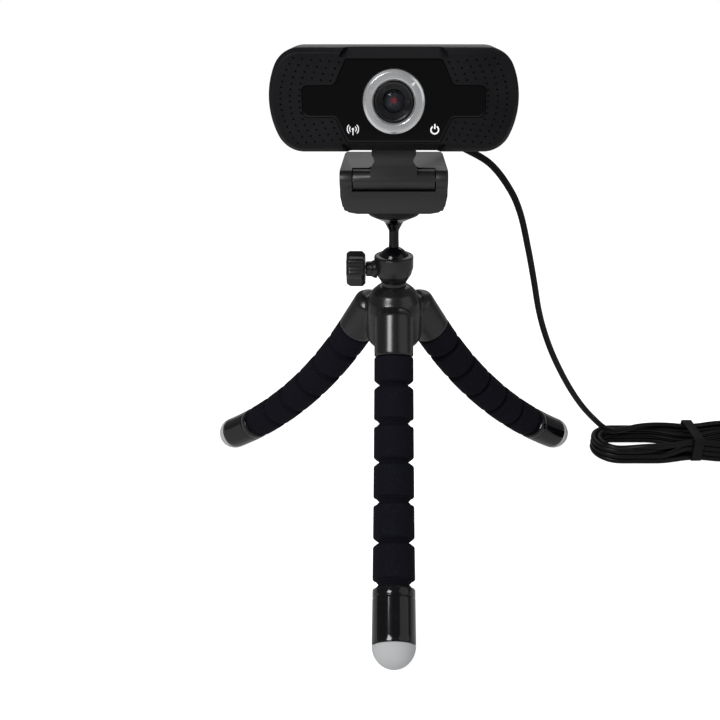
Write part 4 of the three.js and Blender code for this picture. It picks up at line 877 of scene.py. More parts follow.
@dataclass
class UsbCord:
    """A thin USB cord of 1.5 m: down from the webcam to a tied hank beside the tripod, and its plug.

    The hank's runs lie in two columns, near and far from its middle line, and in four layers.
    """

    radius: float = 1.5
    length: float = 1500.0
    relief_end: Corner = (10.0, 10.0, 177.97)
    hank_centre: Pair = (153.0, 44.0)
    run: float = 65.0
    run_steps: int = 24
    bend_steps: int = 12
    columns: Pair = (9.0, 12.0)
    layers: tuple[float, ...] = (1.55, 4.5, 7.5, 10.5)
    crossing: float = 0.24
    tie_x: float = 8.0
    pinch: Pair = (5.2, 3.5)
    pinch_reach: float = 22.0
    plug_end: Corner = (193.8, 32.2, 4.15)
    route: tuple[Corner, ...] = (
        (10, 10.3, 178), (10.2, 15, 178), (12.6, 19.6, 176.6), (19, 22.8, 171.8), (27.7, 23.8, 166.2),
        (41.2, 22.5, 158.8), (50.6, 21.5, 147.6), (55.4, 21.5, 138), (60.5, 22.5, 121), (64.8, 24, 104.5),
        (68.2, 26.2, 91), (72, 28.5, 79.4), (77.4, 30.6, 66.4), (84.6, 33, 52.4), (91.8, 35.4, 40.4),
        (99, 37.8, 30.3), (106, 40.2, 22.2), (113, 42.6, 15.4),
    )
    landing: tuple[Corner, ...] = (
        (119.5, 45.6, 11.9), (126.5, 49.4, 10.7), (134.5, 52.6, 10.5), (143.0, 54.0, 10.5),
    )

    def squeezed(self, x: float, column: float) -> float:
        """How much the tie draws in a run.

        Args:
            x: the place along the hank, in millimetres.
            column: the run's column.

        Returns:
            How far it is drawn towards the hank's middle line, in millimetres.
        """
        off = abs(x - self.hank_centre[0] - self.tie_x)
        share = (column - self.columns[0]) / (self.columns[1] - self.columns[0])
        pinch = self.pinch[0] + (self.pinch[1] - self.pinch[0]) * share
        return pinch * 0.5 * (1 + math.cos(math.pi * min(off / self.pinch_reach, 1.0)))

    def straight(
        self, side: int, start: Pair, end: Pair, first: float = 0.0, window: Pair = (0.0, 1.0)
    ) -> list[Vector]:
        """One straight run of the hank.

        Args:
            side: 1 for the far run, which goes right, and -1 for the near run, which goes left.
            start: its column's radius and height where it starts.
            end: the same where it ends.
            first: how far along the run it starts, from 0 to 1.
            window: between which shares of the run it moves from the one place to the other.

        Returns:
            Its points.
        """
        points = []
        for step in range(self.run_steps + 1):
            t = first + (1 - first) * step / self.run_steps
            moved = min(max((t - window[0]) / (window[1] - window[0]), 0.0), 1.0)
            ease = moved * moved * (3 - 2 * moved)
            column, height = (start[i] + (end[i] - start[i]) * ease for i in (0, 1))
            x = self.hank_centre[0] + side * self.run * (t - 0.5)
            aside = side * (column - self.squeezed(x, column))
            points.append(Vector((x, self.hank_centre[1] + aside, height)))
        return points

    def bend(self, side: int, column: float, height: float) -> list[Vector]:
        """A half turn at one end of the hank.

        Args:
            side: 1 for the right end, and -1 for the left end.
            column: the run's column, which is the turn's radius.
            height: its height.

        Returns:
            Its points, without the two that it shares with the runs.
        """
        centre = self.hank_centre[0] + side * self.run / 2
        half = arc(0, 0, side * column, RIGHT_ANGLE, -RIGHT_ANGLE, self.bend_steps)[1:-1]
        return [Vector((centre + x, self.hank_centre[1] + y, height)) for x, y in half]

    def line(self) -> list[Vector]:
        """The cord's centreline from the strain relief to the plug, in millimetres.

        Returns:
            Its points, close together.
        """
        inner, outer = self.columns
        low, second, third, top = self.layers
        stops = [(outer, top), (inner, third), (outer, third), (outer, second), (inner, second),
                 (inner, low), (outer, low)]
        points = [Vector(p) for p in (*self.route, *self.landing)]
        points += self.straight(1, stops[0], stops[0], 0.5)
        last = len(stops) - 2
        for turn, (here, after) in enumerate(zip(stops, stops[1:])):
            start = (1 - self.crossing) * (last - turn) / last
            points += self.bend(1, *here)
            points += self.straight(-1, here, after, window=(start, start + self.crossing))
            points += self.bend(-1, *after)
            points += self.straight(1, after, after)
        end_x, end_y = self.hank_centre[0] + self.run / 2, self.hank_centre[1]
        quarter = arc(end_x, end_y, outer, RIGHT_ANGLE, 0.0, self.bend_steps // 2)[1:]
        points += [Vector((x, y, low)) for x, y in quarter]
        plug = Vector(self.plug_end)
        points += [
            Vector((end_x + outer - 0.2, end_y - 5.0, low + 0.5)),
            plug + Vector((0.1, 3.5, -0.5)),
            plug + Vector((0, 0.3, 0)),
        ]
        return self.smoothed(points)

    @staticmethod
    def smoothed(points: Sequence[Vector], spacing: float = 2.0) -> list[Vector]:
        """A centripetal Catmull-Rom curve through the points.

        Args:
            points: the points to pass through.
            spacing: about how far apart the curve's own points are.

        Returns:
            The curve's points.
        """
        padded = [2 * points[0] - points[1], *points, 2 * points[-1] - points[-2]]
        curve: list[Vector] = []
        for four in zip(padded, padded[1:], padded[2:], padded[3:]):
            knots = [0.0]
            for p, q in zip(four, four[1:]):
                knots.append(knots[-1] + max((q - p).length, 1e-4) ** 0.5)
            steps = max(1, round((four[2] - four[1]).length / spacing))
            for step in range(steps):
                t = knots[1] + (knots[2] - knots[1]) * step / steps
                row = list(four)
                for reach, first in ((1, 0), (2, 0), (1, 1)):
                    spans = [(knots[first + i], knots[first + i + reach]) for i in range(len(row) - 1)]
                    row = [p + (q - p) * ((t - low) / (high - low))
                           for p, q, (low, high) in zip(row, row[1:], spans)]
                curve.append(row[0])
        curve.append(points[-1].copy())
        return curve

    def build(self) -> None:
        """The cord, its tie and its plug."""
        points = self.line()
        measured = sum((q - p).length for p, q in zip(points, points[1:]))
        log.info("cord centreline %.1f mm", measured)
        data = bpy.data.curves.new("usb_cord", "CURVE")
        data.dimensions = "3D"
        data.bevel_depth = self.radius * MM
        data.bevel_resolution = 3
        data.use_fill_caps = True
        spline = data.splines.new("POLY")
        spline.points.add(len(points) - 1)
        for knot, point in zip(spline.points, points):
            knot.co = (*at(*point), 1.0)
        spline.use_smooth = True
        data.materials.append(CORD.material())
        flex = linked("usb_cord", data)
        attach(flex, "tripod")
        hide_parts("cable", "cable_hank")
        tie, grip, shell = (
            complete(cad_copy(node, name), finish, "tripod", (node,), bevel=bevel)
            for node, name, finish, slot, bevel in (
                ("hank_tie", "hank_tie_band", TIE, "tie", 0.25),
                ("plug_body", "plug_grip", PLUG, "cord", 0.5),
                ("plug_shell", "plug_metal", PLUG_TONGUE, "steel", 0.08),
            )
        )


# ---------------------------------------------------------------- tripod


class Side(Enum):
    """The three legs, and the compass angle in degrees that each leans towards."""

    FRONT = -90.0
    LEFT = 150.0
    RIGHT = 30.0


@dataclass
class Leg:
    """A curved leg: foam over a wire, grooved all round, a gloss sleeve and a pale rubber tip.

    Grooves and ends are told by their distance along the leg from its collar. Profiles are (radius, along).
    """

    side: Side
    radius: float = 8.2
    length: float = 114.0
    root_radius: float = 20.0
    slope_root: float = math.radians(57)
    slope_tip: float = math.radians(32)
    groove_depth: float = 2.2
    groove_half: float = 1.7
    joints: Corner = (28.0, 60.0, 92.0)
    plain_grooves: Corner = (12.0, 44.0, 76.0)
    names: tuple[str, str, str] = ("hip", "knee", "ankle")
    wire_radius: float = 1.5
    wire_ends: Pair = (-12.0, 104.0)
    wire_gap: float = 0.1
    blend_half: float = 1.6
    tip_flat: float = 0.3
    foam_sides: int = 56
    gloss_sides: int = 72
    wire_sides: int = 12
    collar: tuple[Pair, ...] = (
        (0.0, -13.5), (6.2, -13.5), (6.8, -12.9), (6.8, 0.3), (7.7, 0.3), (8.1, 0.5),
    )
    core_half: tuple[Pair, ...] = (
        (6.0, 0.15), (6.3, 0.45), (6.65, 0.8), (7.15, 1.45), (6.4, 1.9), (5.6, 2.3), (5.6, 3.6), (0.0, 3.6),
    )

    def __post_init__(self) -> None:
        """Works out the leg's bend, the height that it starts at, and the bodies that it is made of."""
        self.curl = (self.slope_root - self.slope_tip) / self.length
        drop = (math.cos(self.slope_tip) - math.cos(self.slope_root)) / self.curl
        self.root_z = self.radius - self.tip_flat + drop
        self.word = self.side.name.lower()
        self.bodies = ["tripod", *(f"{self.word}_{part}" for part in ("middle", "lower", "end"))]

    def place(self, radius: float, s: float, angle: float) -> Vector:
        """A point of the leg.

        Args:
            radius: how far it is from the leg's centreline.
            s: how far along the leg it is; the leg is straight before its collar.
            angle: its angle round the centreline, in radians.

        Returns:
            The point in the row frame, and never under the table.
        """
        slope = self.slope_root - self.curl * max(s, 0.0)
        straight = min(s, 0.0)
        out = (self.root_radius + (math.sin(self.slope_root) - math.sin(slope)) / self.curl
               + straight * math.cos(self.slope_root))
        up = (self.root_z - (math.cos(slope) - math.cos(self.slope_root)) / self.curl
              - straight * math.sin(self.slope_root))
        across, aside = radius * math.cos(angle), radius * math.sin(angle)
        out += across * math.sin(slope)
        up += across * math.cos(slope)
        azimuth = math.radians(self.side.value)
        return at(
            out * math.cos(azimuth) - aside * math.sin(azimuth),
            out * math.sin(azimuth) + aside * math.cos(azimuth),
            max(up, 0.0),
        )

    def stretch(self, start: float, end: float, radius: float, step: float = 2.0) -> list[Pair]:
        """Points along a plain stretch, close enough together to follow the leg's curve."""
        count = max(1, math.ceil(abs(end - start) / step))
        return [(radius, start + (end - start) * i / count) for i in range(count + 1)]

    def groove(self, s: float) -> list[Pair]:
        """A rounded V groove round the leg.

        Args:
            s: its middle.

        Returns:
            Its profile.
        """
        top, floor, half = self.radius, self.radius - self.groove_depth, self.groove_half
        flank = [(top - 0.06, half + 0.25), (top - 0.28, half - 0.1), (floor + 0.7, 0.62),
                 (floor + 0.12, 0.28)]
        before = [(r, s - off) for r, off in flank]
        after = [(r, s + off) for r, off in reversed(flank)]
        return [*before, (floor, s), *after]

    def bending_end(self, s: float, hand: int) -> list[Pair]:
        """The end face of a length at a bending groove, hollowed so that two lengths can lean together.

        Args:
            s: the groove's middle.
            hand: 1 where the length starts at the groove, and -1 where it ends there.

        Returns:
            Its profile, from the axis outwards.
        """
        top, half = self.radius, self.groove_half
        face = [(0.0, 0.14), (top - 1.0, 1.5), (top - 0.28, half), (top - 0.06, half + 0.28)]
        return [(r, s + hand * off) for r, off in face]

    def foam(self, part: str, ends: Pair, plain: float, body: str, top: Sequence[Pair]) -> None:
        """A length of foam between two bending grooves with a plain groove in its middle.

        Args:
            part: which length it is.
            ends: the distance where its plain stretch starts, and the bending groove that it ends at.
            plain: its plain groove.
            body: the CAD body that it moves with.
            top: the profile of its start, from the axis outwards.
        """
        margin = self.groove_half + 0.6
        profile = [
            *top,
            *self.stretch(ends[0], plain - margin, self.radius),
            *self.groove(plain),
            *self.stretch(plain + margin, ends[1] - margin, self.radius),
            *reversed(self.bending_end(ends[1], -1)),
        ]
        piece = new_object(f"{self.word}_foam_{part}", lathe(profile, self.place, self.foam_sides))
        complete(piece, FOAM, body, (f"{self.word}_{part}_foam",), smooth=60)

    def build(self) -> None:
        """All of the leg's pieces."""
        starts = [self.collar, *(self.bending_end(joint, 1) for joint in self.joints[:2])]
        for part, top, end, plain, body in zip(
            ("upper", "middle", "lower"), starts, self.joints, self.plain_grooves, self.bodies
        ):
            self.foam(part, (top[-1][1] + 0.6, end), plain, body, top)
        self.sleeve()
        self.tip()
        self.necks()

    def sleeve(self) -> None:
        """The gloss sleeve below the last groove, with a fine line round its top."""
        ankle, end, line = self.joints[2], self.length - 0.15, self.radius - 0.12
        profile = [
            *self.bending_end(ankle, 1),
            *self.stretch(ankle + self.groove_half + 0.7, ankle + 4.6, self.radius - 0.02),
            (line, ankle + 4.8), (line, ankle + 5.1), (self.radius, ankle + 5.3),
            *self.stretch(ankle + 5.8, end - 0.5, self.radius),
            (self.radius - 0.08, end - 0.15), (self.radius - 0.3, end), (0.0, end),
        ]
        piece = new_object(f"{self.word}_sleeve", lathe(profile, self.place, self.gloss_sides))
        complete(piece, SLEEVE, self.bodies[3], (f"{self.word}_end_sleeve",), smooth=40)

    def tip(self) -> None:
        """The round rubber tip, which lies flat where it meets the table."""
        start = self.length + 0.05
        dome = arc(0.0, self.length, self.radius, 0.0, RIGHT_ANGLE, 16)[1:-1]
        profile = [(0.0, start), (self.radius - 0.35, start), (self.radius - 0.1, start + 0.12),
                   (self.radius - 0.02, start + 0.35), *dome, (0.0, self.length + self.radius)]
        piece = new_object(f"{self.word}_rubber_tip", lathe(profile, self.place, self.gloss_sides))
        complete(piece, TIP, self.bodies[3], (f"{self.word}_tip",), smooth=50)

    def necks(self) -> None:
        """A foam core in each groove, and the wire in it, cut into one length for each joint."""
        middles = [(a + b) / 2 for a, b in zip(self.joints, self.joints[1:])]
        cuts = [self.wire_ends[0], *middles, self.wire_ends[1]]
        for i, (joint, name) in enumerate(zip(self.joints, self.names)):
            core = [*((r, joint - off) for r, off in reversed(self.core_half)),
                    *((r, joint + off) for r, off in self.core_half)]
            start, end = cuts[i] + self.wire_gap, cuts[i + 1] - self.wire_gap
            wire = [(0.0, start), *self.stretch(start, end, self.wire_radius, 1.0), (0.0, end)]
            for part, profile, sides, finish, slot in (
                ("core", core, self.foam_sides, FOAM, "foam"),
                ("wire", wire, self.wire_sides, STEEL, "steel"),
            ):
                piece = new_object(f"{self.word}_{name}_{part}", lathe(profile, self.place, sides))
                node = (f"{self.word}_wire",) if part == "wire" and i == 0 else ()
                complete(piece, finish, "", node, smooth=50)
                above = tuple(self.place(0.0, joint - self.blend_half, 0.0))
                below = tuple(self.place(0.0, joint + self.blend_half, 0.0))
                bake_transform(piece)


@dataclass
class Head:
    """The hub that the legs plug into, the ball head on it, and the platform that carries the clip.

    Profiles are (radius, height, fillet) from the axis outwards.
    """

    root_z: float
    ball_z: float = 122.471
    ball_radius: float = 6.5
    ball_room: float = 0.3
    cup_length: float = 20.0
    hub_top: float = 24.8
    rim: float = 2.8
    knob_radius: float = 7.8
    knob_face: float = -12.1
    knob_length: float = 7.8
    lobes: int = 8
    lobe_depth: float = 0.5
    lobe_start: float = 4.6
    lobe_rise: float = 2.4
    lock_drop: float = 3.3
    stem_radius: float = 2.05
    stem_top: float = 24.2
    voxel: float = 0.45
    softening: int = 9

    def hub(self) -> None:
        """One moulding: a round middle with three cups that run into it in soft fillets."""
        top = self.hub_top
        middle = filleted([(0, -2, 0), (10.2, -2, 1.5), (12, 1, 1.5), (12, top - 10.8, 3),
                           (11.3, top - 6.4, 3), (9.5, top - 2.8, 2), (7, top - 0.6, 1), (5.6, top, 0.3),
                           (0, top, 0)], closed=False)
        form = lathe(middle, around_z(at(0, 0, self.root_z)))
        cup = filleted([(0, -self.cup_length, 0), (5.9, -self.cup_length, 2.4), (8.2, -17, 2.4),
                        (8.2, -0.35, 0), (7.9, 0, 0), (0, 0, 0)], closed=False)
        for side in Side:
            part = lathe(cup, Leg(side).place)
            spare = bpy.data.meshes.new("cup")
            part.to_mesh(spare)
            part.free()
            form.from_mesh(spare)
        piece = new_object("hub_moulding", form)
        skin = piece.modifiers.new("one_skin", "REMESH")
        skin.mode = "VOXEL"
        skin.voxel_size = self.voxel * MM
        soft = piece.modifiers.new("fillets", "SMOOTH")
        soft.factor = 0.5
        soft.iterations = self.softening
        complete(evaluated(piece), TRIPOD, "tripod", ("hub",), smooth=180)

    def socket(self) -> None:
        """The socket round the ball, with the boss of the lock screw on its left."""
        rim, cavity = self.rim, self.ball_radius + self.ball_room
        bowl = filleted([(0, -10.4, 0), (5.4, -10.4, 0.3), (5.4, -8.8, 0.8), (7.5, -5.4, 1.5),
                         (8.3, -2.5, 1.5), (8.3, rim - 0.4, 0.6), (7.4, rim, 0.3)], closed=False)
        inside = arc(0.0, 0.0, cavity, math.asin(rim / cavity), -RIGHT_ANGLE, 18)
        inside[-1] = (0.0, -cavity)
        centre = at(0, 0, self.ball_z)
        piece = new_object("socket_cup", lathe([*bowl, *inside], around_z(centre), 96))
        lug = filleted([(0, -11.8, 0), (3.2, -11.8, 0.5), (3.2, -9.6, 0.6), (3.9, -8.2, 0.6), (3.9, -7.1, 0),
                        (0, -7.1, 0)], closed=False)
        boss = new_object("boss", lathe(lug, around_x(centre - Vector((0, 0, self.lock_drop * MM))), 48))
        carve(piece, [boss], "UNION")
        complete(piece, TRIPOD, "tripod", ("ball_socket",), smooth=40)

    def knob(self) -> None:
        """A lobed thumb knob with a dished face."""
        about = around_x(at(0, 0, self.ball_z - self.lock_drop))
        wide, face, back = self.knob_radius, self.knob_face, self.knob_face - self.knob_length
        outline = filleted([(3.4, back + 0.9, 0.5), (5.0, back, 0.6), (wide - 0.9, back, 0.8),
                            (wide, back + 1.3, 0.8), (wide, face - 1.2, 0.8), (wide - 1.3, face, 0.8)],
                           closed=False, steps=5)

        def lobed(radius: float, along: float, angle: float) -> Vector:
            """Places a point of the knob, drawn in between its lobes.

            Args:
                radius: its distance from the knob's axis.
                along: its place along the axis.
                angle: its angle round the axis.

            Returns:
                The point in the row frame.
            """
            share = max(0.0, min(1.0, (radius - self.lobe_start) / self.lobe_rise))
            drawn = radius - self.lobe_depth * share * (1 - math.cos(angle * self.lobes))
            return about(drawn, along, angle)

        piece = new_object("knob_grip", lathe([(0.0, back + 0.9), *outline, (0.0, face)], lobed, 128))
        complete(piece, TRIPOD, "lock_knob", ("lock_knob",), smooth=40)

    def post(self) -> None:
        """The ball, and the thin stem that widens into the platform."""
        about = around_z(at(0, 0, self.ball_z))
        ball, thin, top = self.ball_radius, self.stem_radius, self.stem_top
        half = arc(0.0, 0.0, ball, -RIGHT_ANGLE, RIGHT_ANGLE, 32)[1:-1]
        piece = new_object("ball_round", lathe([(0.0, -ball), *half, (0.0, ball)], about, 64))
        complete(piece, STEM, "ball", ("ball",), smooth=60)
        stem = filleted([
            (0, 6.55, 0), (2.15, 6.55, 0.1), (thin, 9.5, 1.0), (thin, 13.4, 2.0), (4.1, 17.4, 3.0),
            (10.4, top - 3.7, 1.0), (11.0, top - 2.8, 0.5), (11.0, top - 1.0, 0.3), (10.7, top - 0.1, 0.3),
            (10.2, top, 0), (10.2, top - 1.2, 0), (3.4, top - 1.2, 0), (3.4, top - 3.7, 0), (0, top - 3.7, 0),
        ], closed=False)
        piece = new_object("stem_and_platform", lathe(stem, about, 96))
        complete(piece, STEM, "stem", ("stem_platform",), smooth=40)

    def build(self) -> None:
        """All of the head's pieces."""
        self.hub()
        self.socket()
        self.knob()
        self.post()


# ---------------------------------------------------------------- clip and neck


@dataclass
class Clip:
    """The hinged monitor clip and the neck that the webcam turns on.

    Each moulding is (CAD node, name, finish, slot, body, bevel).
    """

    mouldings: tuple[tuple[str, str, Finish, str, str, float], ...] = (
        ("clip_leg", "clip_lower_jaw", CLIP, "clip_plastic", "clip_leg", 0.45),
        ("clip_plate", "clip_upper_jaw", CLIP, "clip_plastic", "clip_plate", 0.45),
        ("clip_leg_pad", "jaw_grip_pad", RUBBER, "rubber", "clip_leg", 0.25),
        ("lip_pad", "lip_grip_pad", RUBBER, "rubber", "clip_plate", 0.2),
        ("neck", "tilt_neck", CLIP, "clip_plastic", "neck", 0.35),
    )

    def build(self) -> None:
        """Each moulding with its edges broken, in place of its CAD node."""
        for node, name, finish, slot, body, bevel in self.mouldings:
            complete(cad_copy(node, name), finish, body, (node,), bevel=bevel)


# ---------------------------------------------------------------- webcam


@dataclass
class Webcam:
    """The webcam's case, its gloss panel, the focus ring and the lens.

    Its points are told from the middle of the front face: X to the right, Y backwards, Z up.
    """

    width: float = 88.0
    height: float = 35.0
    depth: float = 26.0
    end_radius: float = 28.0
    corner_radius: float = 10.0
    back_rounding: float = 5.0
    wall: float = 2.0
    bezel_depth: float = 8.0
    seam: float = 0.25
    chamfer: float = 1.5
    chamfer_depth: float = 2.2
    front_y: float = -28.5
    centre_z: float = 189.971
    hole_radius: float = 0.37
    hole_columns: int = 6
    column_first: float = 39.6
    column_pitch: float = 3.3
    column_reach: float = 14.2
    column_taper: float = 0.28
    column_curve: float = 1.35
    outer_columns: int = 3
    hole_pitch: float = 1.95
    wing_half: float = 5.2
    wing_margin: float = 1.3
    brow_rise: float = 3.2
    brow_depth: float = 5.0
    brow_half: float = 17.5
    panel_front: float = -0.22
    panel_gap: float = 0.22
    mark_x: float = 14.5
    mark_z: float = -9.5
    mark_layer: Pair = (-0.27, -0.2)
    mark_lines: Pair = (0.5, 0.3)
    cord_exit: Pair = (10.0, -12.0)
    relief_radius: float = 3.0
    relief_taper: float = 0.12
    screw_x: float = 34.0
    cross: Pair = (1.45, 0.3)
    body: str = "camera"

    def __post_init__(self) -> None:
        """Works out the middle of the front face."""
        self.centre = at(0, self.front_y, self.centre_z)

    def point(self, x: float, y: float, z: float) -> Vector:
        """A point from the middle of the front face, in the row frame."""
        return self.centre + Vector((x, y, z)) * MM

    def case_outline(self, inset: float, steps: int = 12) -> list[Pair]:
        """The case's outline: wide round ends that meet the flat top and bottom in rounder corners.

        Args:
            inset: how far inside the case's edge.
            steps: points in each arc.

        Returns:
            Its points in X and Z.
        """
        end, corner = self.end_radius - inset, self.corner_radius - inset
        end_x = self.width / 2 - self.end_radius
        corner_z = self.height / 2 - self.corner_radius
        corner_x = end_x + math.sqrt((self.end_radius - self.corner_radius) ** 2 - corner_z ** 2)
        meet = math.atan2(corner_z, corner_x - end_x)
        half = [
            *arc(corner_x, corner_z, corner, RIGHT_ANGLE, meet, steps)[:-1],
            *arc(end_x, 0.0, end, meet, -meet, 2 * steps)[:-1],
            *arc(corner_x, -corner_z, corner, -meet, -RIGHT_ANGLE, steps),
        ]
        return [*half, *((-u, -v) for u, v in half)]

    def block(self, stations: Sequence[Pair]) -> Form:
        """A closed block through outlines at (depth, inset) stations from front to back."""
        return loft([[self.point(x, y, z) for x, z in self.case_outline(inset)] for y, inset in stations])

    def panel_outline(self, grow: float) -> list[Pair]:
        """The panel's outline: a six-sided middle with a round-ended wing on each side.

        Args:
            grow: how far outside the panel's edge.

        Returns:
            Its points in X and Z.
        """
        quarter = [(32 + grow, self.wing_half + grow, 2.4), (20.6 + grow, self.wing_half + grow, 2.2),
                   (16.5 + grow, 13.75 + grow, 1.2)]
        return filleted([
            *((x, z, r) for x, z, r in quarter), *((-x, z, r) for x, z, r in reversed(quarter)),
            *((-x, -z, r) for x, z, r in quarter), *((x, -z, r) for x, z, r in reversed(quarter)),
        ])

    def rod(
        self, radius: float, y0: float, y1: float, x: float = 0.0, z: float = 0.0, sides: int = 64
    ) -> Object:
        """A round tool along Y.

        Args:
            radius: its radius.
            y0: where it starts.
            y1: where it ends.
            x: its place across.
            z: its place up.
            sides: how many sides it has.

        Returns:
            The tool.
        """
        profile = [(0.0, y0), (radius, y0), (radius, y1), (0.0, y1)]
        return new_object("tool", lathe(profile, around_y(self.point(x, 0, z)), sides))

    def brow(self, hand: int) -> Object:
        """The wedge that widens the chamfer over the lens.

        Args:
            hand: 1 for the one over the lens, and -1 for the one under it.

        Returns:
            The tool.
        """
        rise, depth, half, long = self.brow_rise, self.brow_depth, self.brow_half, 12.0
        slope = Vector((0.0, -depth, -rise)).normalized()
        out = Vector((0.0, -rise, depth)).normalized()
        foot = Vector((0.0, 0.0, self.height / 2 - rise))
        low = [foot + slope + Vector((x, 0, 0)) for x in (-half - 1.8, half + 1.8)]
        high = [foot - slope * long + Vector((x, 0, 0)) for x in (half - 5.0, -half + 5.0)]
        rings = [[self.point(p.x, p.y, hand * p.z) for p in (q + out * lift for q in (*low, *high))]
                 for lift in (0.0, long)]
        return new_object("tool", loft(rings))

    def hole_points(self) -> list[Pair]:
        """The middles of the small holes, in curved columns like the case's ends, clear of the panel's wings.

        Returns:
            Their places in X and Z.
        """
        places = []
        for column in range(self.hole_columns):
            x_mid = self.column_first - self.column_pitch * column
            reach = self.column_reach - self.column_taper * column
            count = round(2 * reach / self.hole_pitch)
            for z in (-reach + 2 * reach * i / count for i in range(count + 1)):
                if column >= self.outer_columns and abs(z) < self.wing_half + self.wing_margin:
                    continue
                curve = self.column_curve * (self.end_radius - math.sqrt(self.end_radius ** 2 - z * z))
                places += [(hand * (x_mid - curve), z) for hand in (-1, 1)]
        return places

    def holes(self, name: str, y: float, radius: float, depth: float) -> Object:
        """A near-black peg in each small hole, painted shade where it is left on a hole's floor.

        Args:
            name: the pegs' name.
            y: where their middles are.
            radius: their radius.
            depth: their length.

        Returns:
            The pegs.
        """
        points = [self.point(x, y, z) for x, z in self.hole_points()]
        # Near black: where the pegs stay, they are painted shade in the holes.
        return pegs(name, points, radius, depth, (RIGHT_ANGLE, 0.0, 0.0), HOLE_SHADE)

    def bezel(self) -> None:
        """The front moulding, with its chamfers, the panel's recess and rows of real holes, whose floors get
        near-black plugs of painted shade.
        """
        face, foot, back = self.chamfer, self.chamfer_depth, self.bezel_depth
        stations = [(0.0, face + 0.6), (0.0, face + 0.25), (0.06, face + 0.08), (0.25, face - 0.1),
                    (foot - 0.25, 0.16), (foot, 0.03), (foot + 0.35, 0.0), (back - 0.25, 0.0), (back, 0.2)]
        piece = new_object("front_moulding", self.block(stations))
        outline = self.panel_outline(self.panel_gap)
        recess = new_object("tool", loft([[self.point(x, y, z) for x, z in outline] for y in (-1.0, 1.5)]))
        inside = new_object("tool", self.block([(3.0, self.wall), (back + 1, self.wall)]))
        drills = self.holes("drills", 0.0, self.hole_radius, 1.4)
        carve(piece, [recess, inside, self.brow(1), self.brow(-1), self.rod(11.1, -2.0, 4.0), drills])
        complete(piece, BEZEL, self.body, ("front_bezel",), smooth=25)
        # Near-black plugs on the holes' floors: painted shade in the holes.
        shade_floors = self.holes("speaker_hole_shade", 0.52, self.hole_radius + 0.04, 0.5)
        complete(shade_floors, HOLE_SHADE, self.body)

    def shell(self) -> None:
        """The rear moulding, rounded at the back, with its screw wells and the cord's hole."""
        start, back, turn = self.bezel_depth + self.seam, self.depth, self.back_rounding
        rounding = [(back - y, inset) for inset, y in arc(turn, turn, -turn, 0.0, RIGHT_ANGLE, 10)]
        piece = new_object("rear_moulding", self.block([(start, 0.25), (start + 0.25, 0.0), *rounding]))
        inside = new_object("tool", self.block([(start - 1, self.wall), (back - self.wall, self.wall)]))
        wells = [self.rod(2.45, back - 1.0, back + 1, x, 0, 32) for x in (-self.screw_x, self.screw_x)]
        carve(piece, [inside, *wells, self.rod(2.95, back - 4, back + 1, *self.cord_exit, 32)])
        complete(piece, SHELL, self.body, ("rear_shell",), smooth=30)

    def panel(self) -> None:
        """The gloss panel, with its edge just broken, and the two marks printed on it, which also glow with
        painted light.
        """
        rings = [(1.2, 0.0), (-0.1, 0.0), (-0.18, 0.05), (self.panel_front, 0.16), (self.panel_front, 0.6)]
        outlines = [[self.point(x, y, z) for x, z in self.panel_outline(-inset)] for y, inset in rings]
        piece = new_object("gloss_panel_front", loft(outlines))
        carve(piece, [self.rod(11.0, -2.0, 4.0, sides=96)])
        complete(piece, PANEL, self.body, ("front_panel",), smooth=20)
        self.marks()

    def stroke(self, form: Form, line: Sequence[Pair], width: float, closed: bool = False) -> None:
        """Adds a thin printed line to a mesh.

        Args:
            form: the mesh being built.
            line: its middle line in X and Z.
            width: its width.
            closed: whether it comes back to its start.
        """
        front, back = self.mark_layer
        rows = []
        for i, (x, z) in enumerate(line):
            before = line[i - 1] if closed or i else line[i]
            after = line[(i + 1) % len(line)] if closed or i < len(line) - 1 else line[i]
            along = Vector((after[0] - before[0], after[1] - before[1])).normalized()
            aside = Vector((-along.y, along.x)) * width / 2
            rows.append([form.verts.new(self.point(x + hand * aside.x, y, z + hand * aside.y))
                         for y, hand in ((front, -1), (front, 1), (back, 1), (back, -1))])
        joined(form, rows, closed)

    def marks(self) -> None:
        """A plain wireless mark on the left and a power mark on the right, printed white and glowing with
        painted light.
        """
        x, z = self.mark_x, self.mark_z
        power = bmesh.new()
        bold, fine = self.mark_lines
        self.stroke(power, arc(x, z, 1.35, math.radians(122), math.radians(418), 20), bold)
        self.stroke(power, [(x, z + 0.3), (x, z + 2.0)], bold)
        wireless = bmesh.new()
        for radius in (1.2, 2.0):
            for middle in (0, 180):
                first, last = math.radians(middle - 46), math.radians(middle + 46)
                self.stroke(wireless, arc(-x, z + 0.25, radius, first, last, 20), fine)
        self.stroke(wireless, arc(-x, z + 0.25, 0.26, 0, math.radians(342), 12), fine, closed=True)
        self.stroke(wireless, [(-x, z - 0.15), (-x, z - 1.8)], 0.34)
        for name, form in (("power_mark", power), ("wireless_mark", wireless)):
            bmesh.ops.recalc_face_normals(form, faces=form.faces)
            complete(new_object(name, form), PRINT_WITH_PAINTED_GLOW, self.body, smooth=30)

